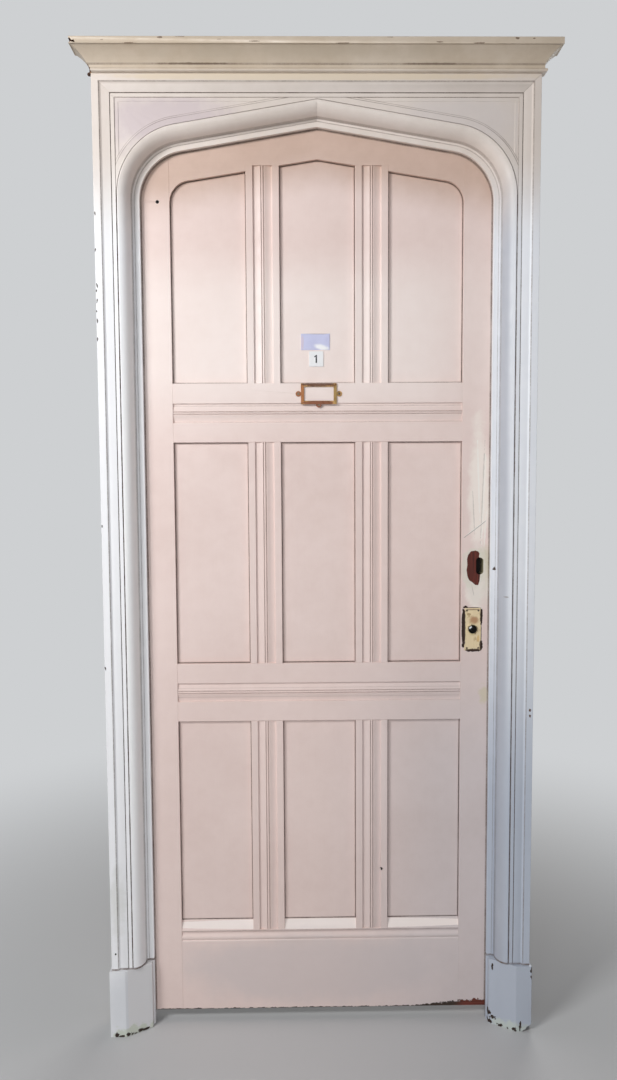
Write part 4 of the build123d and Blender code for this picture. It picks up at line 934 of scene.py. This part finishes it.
# Painted light and shade on the card frame: each bar and ear gets its own tone for how the light falls on it,
# the top bar darkest in its shade.
card_frame_light_and_shade = [
    stain(centre, reach, colour, ragged=ragged, grain=grain, softness=softness)
    for centre, reach, colour, ragged, grain, softness in (
        ((-37.5, 17, 1548), (6.5, 8, 27), (158, 102, 58), 0.3, 160, 0.3),
        ((42, 17, 1548), (6.5, 8, 27), (150, 120, 66), 0.3, 160, 0.3),
        ((2, 17, 1570), (44, 8, 5.4), (98, 66, 48), 0.35, 120, 0.25),
        ((2, 17, 1527), (44, 8, 5.2), (122, 72, 44), 0.35, 120, 0.25),
        ((-46.5, 17, 1548), (8, 8, 8), (146, 86, 48), 0.2, 160, 0.4),
        ((2, 17, 1521), (8, 8, 5.6), (124, 66, 46), 0.2, 160, 0.4),
    )
]
knob_plate_bronze = metal(
    "knob_plate_bronze", (224, 204, 166), (182, 152, 114),
    metallic=0.35, spread=0.35, along="z", marks=plate_marks, grain=70.0,
)
card_brass = metal(
    "card_frame_brass", (176, 134, 78), (112, 76, 44),
    metallic=0.35, spread=0.6, marks=card_frame_light_and_shade, grain=160.0,
)
print(len(plate_marks), "marks on the knob plate")

# %% Enamel, the name plate and the lock's dull iron
ROUGHNESS_PLAY = 0.12
ENAMEL_BUMP = 0.1


def enamel(name, colour, tint, marks=(), roughness=0.3):
    """Smooth enamel or a plain plate: even colour with a slow change of tone."""
    material, tree, shader = fresh_material(name)
    position = own_place(tree)
    cloud = noise(tree, position, 24.0, 3.0)
    shade = blend(tree, ramp(tree, cloud, 0.3, 0.7), srgb(*colour), srgb(*tint))
    rough = ramp(tree, noise(tree, position, 110.0), 0.3, 0.7, roughness, roughness + ROUGHNESS_PLAY)
    shade, height, rough = lay_marks(tree, position, marks, "all", shade, cloud, rough)
    finish_surface(tree, shader, shade, rough, height, ENAMEL_BUMP)
    return material


name_plate_sheen_and_marks = [
    # The first mark is a painted sheen: a pale diagonal streak across the plate.
    flat_stain(27, (10, 1658), (26, 9), (252, 252, 254), turn=-14, ragged=0.2, grain=60, softness=0.7),
    flat_stain(27, (-36.5, 1670), (5, 24), (214, 198, 214), 0.8, ragged=0.2, grain=60, softness=0.6),
    flat_stain(27, (-5.5, 1690), (38, 1.8), (168, 158, 170), ragged=0.3, grain=60, softness=0.5),
]
# The lock's iron is near black: its own dark colour and painted shade for what is seen of it inside the knob
# hole.
lock_iron = enamel("lock_iron", (38, 33, 30), (28, 22, 18), roughness=0.8)
plaque_metal = enamel("plaque_metal", (206, 208, 238), (196, 198, 230), name_plate_sheen_and_marks)
number_enamel = enamel("number_enamel", (246, 246, 246), (240, 240, 242))
numeral_black = enamel("numeral_black", (38, 38, 42), (30, 30, 34))
print(len(bpy.data.materials), "materials")

# %% [markdown]
# ## Soft arrises, shut-in faces and hairline joints
#
# A CAD edge is perfectly sharp, and nothing painted ten times is. Each piece gets a copy whose
# loose triangles are merged into clean faces, with a small live bevel. How wide the bevel is
# depends on the edge: a free arris gets the full width, a narrow bead gets what there is room for,
# and where two boards butt the paint bridges them, so only a hairline is left. The last kind is
# found by looking just outside each face beside the edge: if another solid is there, it is a joint.
#
# The same look around gives the painted shade and dirt in crevices their place. From the middle of
# each narrow face, 24 rays go out a few millimetres; the more of them that hit something, the more
# shut in the face is.

# %% Find joints and free arrises
MERGE_DISTANCE = 1e-6
BESIDE_EDGE, OFF_FACE = 0.0010, 0.0004

TREES = {
    node: BVHTree.FromPolygons([v.co for v in item.data.vertices], [p.vertices for p in item.data.polygons])
    for node, item in NODES.items()
}
BOXES = {node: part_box(node) for node in NODES}
SKEW = Vector((0.31, 0.53, 0.79)).normalized()


def inside(tree, point):
    """True if the point is inside that solid: a ray from it crosses the surface an odd number of times."""
    start, crossings = point.copy(), 0
    while True:
        hit = tree.ray_cast(start, SKEW)[0]
        if hit is None:
            return crossings % 2 == 1
        crossings += 1
        start = hit + SKEW * MERGE_DISTANCE


def neighbours(node, reach=0.005):
    """The other solids whose boxes come within reach of this one's."""
    low, high = BOXES[node]
    return [
        TREES[other]
        for other, (a, b) in BOXES.items()
        if other != node and all(a[k] < high[k] + reach and b[k] > low[k] - reach for k in range(3))
    ]


def is_joint(edge, others):
    """True if another solid lies against a face beside this edge."""
    middle = (edge.verts[0].co + edge.verts[1].co) / 2
    for loop in edge.link_loops:
        run = (loop.link_loop_next.vert.co - loop.vert.co).normalized()
        normal = loop.face.normal
        beside = middle + normal.cross(run) * BESIDE_EDGE + normal * OFF_FACE
        if any(inside(tree, beside) for tree in others):
            return True
    return False


print(len(TREES), "solids ready to be searched")

# %% [markdown]
# A bevel can't be wider than its faces allow, and its width has to stay the same along one run of
# edges, or the arris would wobble. So edges are gathered into chains, and each chain gets the least
# room that any of its edges has.

# %% Room for an arris
RUNS_ON = 0.7


def room_beside(edge, loop):
    """How far the face goes on beside this edge, from the edge's middle."""
    run = (loop.link_loop_next.vert.co - loop.vert.co).normalized()
    inward = loop.face.normal.cross(run)
    middle = (edge.verts[0].co + edge.verts[1].co) / 2
    best = math.inf
    for other in loop.face.edges:
        if other is edge:
            continue
        a, b = (vert.co - middle for vert in other.verts)
        along_a, along_b = a.dot(run), b.dot(run)
        if along_a * along_b <= 0 and along_a != along_b:
            depth = a.lerp(b, along_a / (along_a - along_b)).dot(inward)
            if depth > MERGE_DISTANCE:
                best = min(best, depth)
    return best


def gather(items, next_to):
    """The items in groups; next_to gives what an item joins on to."""
    waiting = set(items)
    groups = []
    while waiting:
        stack = [waiting.pop()]
        group_items = []
        while stack:
            item = stack.pop()
            group_items.append(item)
            for other in next_to(item):
                if other in waiting:
                    waiting.remove(other)
                    stack.append(other)
        groups.append(group_items)
    return groups


def edges_onwards(edge):
    """The edges that go on from this one without a corner."""
    found = []
    for vert in edge.verts:
        way = (vert.co - edge.other_vert(vert).co).normalized()
        for other in vert.link_edges:
            if way.dot((other.other_vert(vert).co - vert.co).normalized()) > RUNS_ON:
                found.append(other)
    return found


print("edges run on within", round(math.degrees(math.acos(RUNS_ON))), "degrees")

# %% How shut in a face is
CREVICE_REACH = 0.004
NARROW = 0.006
RAY_COUNT = 24
RAY_START = 0.0003
LOWEST_RAY = 0.12
GOLDEN_TURN = math.pi * (3 - math.sqrt(5))


def ray(number):
    """One of the rays that are spread evenly over a half ball about Z."""
    height = LOWEST_RAY + (1 - LOWEST_RAY) * (number + 0.5) / RAY_COUNT
    reach = math.sqrt(1 - height * height)
    return Vector((math.cos(number * GOLDEN_TURN) * reach, math.sin(number * GOLDEN_TURN) * reach, height))


RAYS = [ray(number) for number in range(RAY_COUNT)]


def shut_in(face, trees):
    """The share of rays from the middle of a narrow face that hit something close by; 0 for a wide one."""
    normal = face.normal
    if 2 * face.calc_area() / face.calc_perimeter() > NARROW:
        return 0.0
    turn = Vector((0, 0, 1)).rotation_difference(normal)
    start = face.calc_center_median_weighted() + normal * RAY_START
    hits = sum(
        any(tree.ray_cast(start, turn @ way, CREVICE_REACH)[0] is not None for tree in trees) for way in RAYS
    )
    return hits / RAY_COUNT


print(RAY_COUNT, "rays for each narrow face")

# %% The softened copy
SHARP = math.radians(26)
MERGE_ANGLE = math.radians(0.3)
ROOM_SHARE = 0.3
JOINT_SHARE = 0.2
JOINT_RUN = 0.3


def softened(node, width, rim=0.0, crisp=()):
    """Copy of a CAD node with merged faces, bevel weights and the attributes for painted shade and dirt.

    Edges beside a face that passes a crisp test stay sharp. With a rim, the largest face towards the
    front gets a ring that wide, where the attribute rim goes from 1 to 0.
    """
    mesh = bmesh.new()
    mesh.from_mesh(NODES[node].data)
    bmesh.ops.remove_doubles(mesh, verts=mesh.verts, dist=MERGE_DISTANCE)
    bmesh.ops.dissolve_limit(mesh, angle_limit=MERGE_ANGLE, verts=mesh.verts, edges=mesh.edges)
    weight = mesh.edges.layers.float.new("bevel_weight_edge")
    others = neighbours(node)
    kept = {
        face for face in mesh.faces if any(test(face.calc_center_median(), face.normal) for test in crisp)
    }
    shared = [edge for edge in mesh.edges if len(edge.link_faces) == 2 and edge.calc_face_angle(0.0) >= SHARP]
    sharp = [edge for edge in shared if not kept.intersection(edge.link_faces)]
    for chain in gather(sharp, edges_onwards):
        length = sum(edge.calc_length() for edge in chain)
        jointed = sum(edge.calc_length() for edge in chain if is_joint(edge, others))
        room = min([length] + [room_beside(edge, loop) for edge in chain for loop in edge.link_loops])
        share = min(1.0, ROOM_SHARE * room / width, JOINT_SHARE if jointed > JOINT_RUN * length else 1.0)
        for edge in chain:
            edge[weight] = share
    closed = mesh.faces.layers.float.new("closed")
    for face in mesh.faces:
        face[closed] = shut_in(face, [TREES[node]] + others)
    if rim:
        near = mesh.verts.layers.float.new("rim")
        front = max((face for face in mesh.faces if face.normal.y < -0.9), key=lambda face: face.calc_area())
        outline = list(front.verts)
        bmesh.ops.inset_individual(mesh, faces=[front], thickness=rim, use_even_offset=True)
        for vert in outline:
            vert[near] = 1.0
    data = bpy.data.meshes.new(node + "_painted")
    mesh.to_mesh(data)
    mesh.free()
    data.shade_smooth()
    data.set_sharp_from_angle(angle=SHARP)
    item = new_object(data.name, data)
    bevel = item.modifiers.new("arrises", "BEVEL")
    bevel.width = width
    bevel.segments = 2
    bevel.limit_method = "WEIGHT"
    bevel.use_clamp_overlap = False
    bevel.harden_normals = True
    return item


def dress(node, material, width=0.0012, patches=(), rim=0.0, crisp=False):
    """Put a softened, painted copy in a node's place.

    A patch is a test of a face's centre and normal, and the material for the faces that pass it.
    """
    item = softened(node, width, rim, [test for test, other in patches] if crisp else [])
    item.data.materials.append(material)
    for number, (test, other) in enumerate(patches, 1):
        item.data.materials.append(other)
        for face in item.data.polygons:
            if test(face.center, face.normal):
                face.material_index = number
    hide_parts(node)
    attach(item, BODY_OF[node])


print("arrises over", round(math.degrees(SHARP)), "degrees are softened")

# %% [markdown]
# ## The leaf
#
# Stiles and muntins were brushed up and down and rails from side to side, so they take different
# paints although the colour is the same. The lock stile also has a torn patch where the lock
# cylinder was, and walls painted near black for the shade in every hole.

# %% The leaf's boards and panels
KNOB_X, KNOB_Z = 0.3725, 0.981
SLOT_X, SLOT_Z = 0.389, 1.135
STILE_HOLE = (-0.372, SPRINGING + 0.002)
MUNTIN_HOLE = (0.1505, 0.3835)
HOLE_REACH = 0.004
PANEL_ARRIS, PANEL_RIM = 0.0008, 0.0045


def in_hole(place, reach=HOLE_REACH):
    """Test for the walls and the floor of a hole, between the leaf's front and its back."""
    return lambda centre, normal: (
        Y_LEAF + 1e-4 < centre.y < Y_BACK - 1e-3 and math.dist((centre.x, centre.z), place) < reach
    )


def in_slot(centre, normal):
    """Walls and floor of the cylinder's slot, behind the torn patch."""
    deep = Y_LEAF + 0.0013 < centre.y < Y_LEAF + 0.0345
    return deep and abs(centre.x - SLOT_X) < 0.009 and abs(centre.z - SLOT_Z) < 0.022


def in_torn_patch(centre, normal):
    """Floor and walls of the patch round the slot."""
    sunk = Y_LEAF + 1e-4 < centre.y < Y_LEAF + 0.0013
    return sunk and 0.353 < centre.x < 0.395 and 1.085 < centre.z < 1.176


lock_patches = [
    (in_slot, hole_wall_shade),
    (lambda centre, normal: in_slot(centre, normal) and normal.x < -0.5, slot_wood),
    (in_torn_patch, torn_wood),
    (in_hole((KNOB_X, KNOB_Z), 0.0115), hole_wall_shade),
]
for node in sorted(NODES):
    if node == "stile_lock":
        dress(node, leaf_lock, patches=lock_patches)
    elif node == "stile_hinge":
        dress(node, leaf_upright, patches=[(in_hole(STILE_HOLE), hole_wall_shade)])
    elif node.startswith("muntin"):
        dress(node, leaf_upright, patches=[(in_hole(MUNTIN_HOLE), hole_wall_shade)])
    elif node.startswith("panel"):
        dress(node, leaf_panel, PANEL_ARRIS, rim=PANEL_RIM)
    elif node == "bottom_rail":
        dress(node, leaf_foot)
    elif node in ("lock_rail", "upper_rail", "top_rail"):
        dress(node, leaf_level)
print("leaf painted")

# %% [markdown]
# ## The frame
#
# The mouldings are painted; the sides and the top that stood against the wall are bare timber, and
# the corners that are knocked off show broken wood.

# %% The frame's mouldings
FRAME_TOP = 2.313
FRAME_ARRIS, PLINTH_ARRIS = 0.001, 0.0015


def against_wall(centre, normal):
    """Outer sides and top of the timbers behind the casing."""
    return (abs(normal.x) > 0.9 and abs(centre.x) > FRAME_HALF - 0.001) or centre.z > FRAME_TOP - 0.001


def within(low, high):
    """Test for faces whose middle is in a box."""
    return lambda centre, normal: all(low[k] < centre[k] < high[k] for k in range(3))


def knocked_off(centre, normal):
    """Faces of the plinth's broken corner."""
    slanting = abs(normal.x) > 0.06 and abs(normal.z) > 0.06
    return centre.x > 0.480 and centre.z < 0.022 and centre.y > -0.0425 and (slanting or normal.y < -0.9)


broken_cornice = [
    (within((-0.5195, -0.06, 2.2515), (-0.5, -0.02, 2.2705)), broken_wood),
    (within((-0.546, -0.0755, 2.2985), (-0.5285, -0.066, 2.3095)), broken_wood),
]
for node in sorted(NODES):
    if node.startswith("cornice_ground"):
        dress(node, bare_timber, FRAME_ARRIS)
    elif node.startswith("cornice"):
        dress(node, cornice_paint, FRAME_ARRIS, broken_cornice, crisp=True)
    elif node == "arched_head":
        dress(node, head_paint, FRAME_ARRIS, [(against_wall, bare_timber)])
    elif node.startswith(("casing_head", "roll_arch", "stop_arch")):
        dress(node, head_paint, FRAME_ARRIS)
    elif node.startswith("spandrel"):
        dress(node, spandrel_paint, FRAME_ARRIS)
    elif node.startswith("plinth"):
        dress(node, plinth_paint, PLINTH_ARRIS, [(knocked_off, broken_wood)])
    elif node.startswith(("post", "casing", "roll", "stop")):
        jamb_paint = jamb_left if node.endswith("left") else jamb_right
        patches = [(against_wall, bare_timber)] if node.startswith("post") else []
        dress(node, jamb_paint, FRAME_ARRIS, patches)
print("frame painted")

# %% [markdown]
# ## Ironwork and furniture
#
# Plates are thin, so their arrises are rounded by a third of a millimetre only.

# %% Hinges, lock and plates
FINE = 0.0003


def is_numeral(centre, normal):
    """The raised figure on the number plate."""
    return centre.y < Y_PANEL - 0.00205


for node, material in (
    ("hinge_frame_plates", hinge_steel),
    ("hinge_leaf_plates", hinge_steel),
    ("hinge_pins", hinge_steel),
    ("strike_plate", forend_brass),
    ("lock_forend", forend_brass),
    ("lock_case", lock_iron),
    ("lock_cap", lock_iron),
    ("lock_hub", lock_iron),
    ("latch_bolt", latch_steel),
    ("knob_plate", knob_plate_bronze),
    ("card_frame", card_brass),
    ("name_plate", plaque_metal),
):
    dress(node, material, FINE)
dress("number_plate", number_enamel, FINE, [(is_numeral, numeral_black)])
print("ironwork and furniture dressed")

# %% [markdown]
# ## Screws with Geometry Nodes
#
# The CAD screws are plain cones on cylinders. Each kind gets a proper slotted countersunk screw:
# the tree below builds one from primitives, cuts its slot, and puts it on every point with the
# point's own axis and turn. The points come from the CAD solids: each loose island is one screw,
# its long side is the axis, and the wider end is the head.

# %% One screw
SCREW_SIDES = 32
TIP_LENGTH, TIP_RADIUS = 3.0, 0.15
SIZES = ("Head Radius", "Shank Radius", "Length", "Sink", "Slot Width")
HINGE_SCREW = dict(zip(SIZES, (0.0038, 0.002, 0.024, 0.0019, 0.0009)))
PLATE_SCREW = dict(zip(SIZES, (0.0026, 0.0012, 0.014, 0.0019, 0.0006)))
CARD_SCREW = dict(zip(SIZES, (0.0034, 0.0014, 0.016, 0.0019, 0.0008)))


def cone(tree, top, bottom, depth, height):
    """A cone along the screw's axis, with its foot at this height."""
    sockets = {"Vertices": SCREW_SIDES, "Radius Top": top, "Radius Bottom": bottom, "Depth": depth}
    mesh = put(tree, "GeometryNodeMeshCone", sockets).outputs["Mesh"]
    offset = put(tree, "ShaderNodeCombineXYZ", {"Z": height}).outputs[0]
    return put(tree, "GeometryNodeTransform", {"Geometry": mesh, "Translation": offset}).outputs[0]


def one_screw(tree, given):
    """Head, shank and tip in one mesh, with a slot cut across the head."""
    head, shank, length, sink = (given[label] for label in SIZES[:4])
    tip_length = times(tree, shank, TIP_LENGTH)
    straight = minus(tree, minus(tree, length, sink), tip_length)
    head_foot = times(tree, sink, -1.0)
    shank_foot = minus(tree, head_foot, straight)
    tip_foot = minus(tree, shank_foot, tip_length)
    body = tree.nodes.new("GeometryNodeJoinGeometry")
    for top, bottom, depth, foot in (
        (head, shank, sink, head_foot),
        (shank, shank, straight, shank_foot),
        (shank, times(tree, shank, TIP_RADIUS), tip_length, tip_foot),
    ):
        tree.links.new(cone(tree, top, bottom, depth, foot), body.inputs[0])
    merging = {"Geometry": body.outputs[0], "Distance": MERGE_DISTANCE}
    merged = put(tree, "GeometryNodeMergeByDistance", merging).outputs[0]
    slot = {"X": times(tree, head, 2.4), "Y": given["Slot Width"], "Z": times(tree, sink, 0.9)}
    slot_size = put(tree, "ShaderNodeCombineXYZ", slot).outputs[0]
    cut = put(tree, "GeometryNodeMeshBoolean", operation="DIFFERENCE", solver="EXACT")
    tree.links.new(merged, cut.inputs["Mesh 1"])
    cutter = put(tree, "GeometryNodeMeshCube", {"Size": slot_size}).outputs["Mesh"]
    tree.links.new(cutter, cut.inputs["Mesh 2"])
    return cut.outputs["Mesh"]


print("a screw has", SCREW_SIDES, "sides")


# %% The screw tree
def screw_tree():
    """A Geometry Nodes tree that puts slotted countersunk screws on the points of a mesh."""
    tree = bpy.data.node_groups.new("slotted_screws", "GeometryNodeTree")
    tree.is_modifier = True
    tree.interface.new_socket("Geometry", in_out="INPUT", socket_type="NodeSocketGeometry")
    for label, value in HINGE_SCREW.items():
        tree.interface.new_socket(label, in_out="INPUT", socket_type=FLOAT).default_value = value
    tree.interface.new_socket("Material", in_out="INPUT", socket_type="NodeSocketMaterial")
    tree.interface.new_socket("Geometry", in_out="OUTPUT", socket_type="NodeSocketGeometry")
    given = put(tree, "NodeGroupInput").outputs
    result = put(tree, "NodeGroupOutput").inputs
    named = "GeometryNodeInputNamedAttribute"
    axis = put(tree, named, {"Name": "axis"}, data_type="FLOAT_VECTOR").outputs[0]
    turn = put(tree, named, {"Name": "turn"}, data_type="FLOAT").outputs[0]
    upright = put(tree, "FunctionNodeAlignRotationToVector", {"Vector": axis}, axis="Z").outputs[0]
    spin = put(tree, "FunctionNodeAxisAngleToRotation", {"Axis": (0, 0, 1), "Angle": turn}).outputs[0]
    both = {"Rotation": upright, "Rotate By": spin}
    rotation = put(tree, "FunctionNodeRotateRotation", both, rotation_space="LOCAL").outputs[0]
    sockets = {"Points": given["Geometry"], "Instance": one_screw(tree, given), "Rotation": rotation}
    instances = put(tree, "GeometryNodeInstanceOnPoints", sockets).outputs[0]
    real = put(tree, "GeometryNodeRealizeInstances", {"Geometry": instances}).outputs[0]
    dressing = {"Geometry": real, "Material": given["Material"]}
    tree.links.new(put(tree, "GeometryNodeSetMaterial", dressing).outputs[0], result[0])
    return tree


SCREWS = screw_tree()
print("tree", SCREWS.name, "with", len(SCREWS.nodes), "nodes")

# %% Where the CAD screws sit
HEAD_END = 1e-4


def islands(mesh):
    """The loose islands of a mesh, each a list of vertex positions."""
    shape = bmesh.new()
    shape.from_mesh(mesh)
    bmesh.ops.remove_doubles(shape, verts=shape.verts, dist=MERGE_DISTANCE)
    joined = gather(shape.verts, lambda vert: [edge.other_vert(vert) for edge in vert.link_edges])
    found = [[vert.co.copy() for vert in island] for island in joined]
    shape.free()
    return found


def screw_place(points):
    """Middle of the head and the way out along the axis."""
    low = [min(p[k] for p in points) for k in range(3)]
    high = [max(p[k] for p in points) for k in range(3)]
    long_way = max(range(3), key=lambda k: high[k] - low[k])
    middle = [(low[k] + high[k]) / 2 for k in range(3)]

    def girth(end):
        """Widest reach from the axis near one end."""
        sideways = [k for k in range(3) if k != long_way]
        near = [p for p in points if abs(p[long_way] - end) < HEAD_END]
        return max(math.hypot(*(p[k] - middle[k] for k in sideways)) for p in near)

    outwards = 1 if girth(high[long_way]) > girth(low[long_way]) else -1
    middle[long_way] = high[long_way] if outwards > 0 else low[long_way]
    return tuple(middle), tuple(outwards if k == long_way else 0 for k in range(3))


print("hinge screws in the frame:", len(islands(NODES["frame_screws"].data)))


# %% Put the screws in
def put_screws(node, material, sizes, seed):
    """Replace a node of CAD screws by slotted ones."""
    places = sorted(screw_place(points) for points in islands(NODES[node].data))
    draw = random.Random(seed)
    data = bpy.data.meshes.new(node + "_points")
    data.from_pydata([place for place, axis in places], [], [])
    data.attributes.new("axis", "FLOAT_VECTOR", "POINT")
    data.attributes.new("turn", "FLOAT", "POINT")
    for number, (place, axis) in enumerate(places):
        data.attributes["axis"].data[number].vector = axis
        data.attributes["turn"].data[number].value = draw.uniform(0, math.pi)
    points = new_object(data.name, data)
    modifier = points.modifiers.new("screws", "NODES")
    modifier.node_group = SCREWS
    keys = {item.name: item.identifier for item in SCREWS.interface.items_tree if item.in_out == "INPUT"}
    for label, value in sizes.items():
        modifier[keys[label]] = value
    modifier[keys["Material"]] = material
    graph = bpy.context.evaluated_depsgraph_get()
    mesh = bpy.data.meshes.new_from_object(points.evaluated_get(graph), depsgraph=graph)
    mesh.name = node + "_slotted"
    bpy.data.objects.remove(points)
    for polygon in mesh.polygons:
        polygon.use_smooth = True
    mesh.set_sharp_from_angle(angle=SHARP)
    item = new_object(mesh.name, mesh)
    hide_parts(node)
    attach(item, BODY_OF[node])
    print(node, "-", len(places), "screws,", len(mesh.polygons), "faces")


put_screws("frame_screws", screw_steel, HINGE_SCREW, 11)
put_screws("leaf_screws", screw_steel, HINGE_SCREW, 12)
put_screws("knob_plate_screws", small_steel, PLATE_SCREW, 13)
put_screws("card_screws", small_steel, CARD_SCREW, 14)
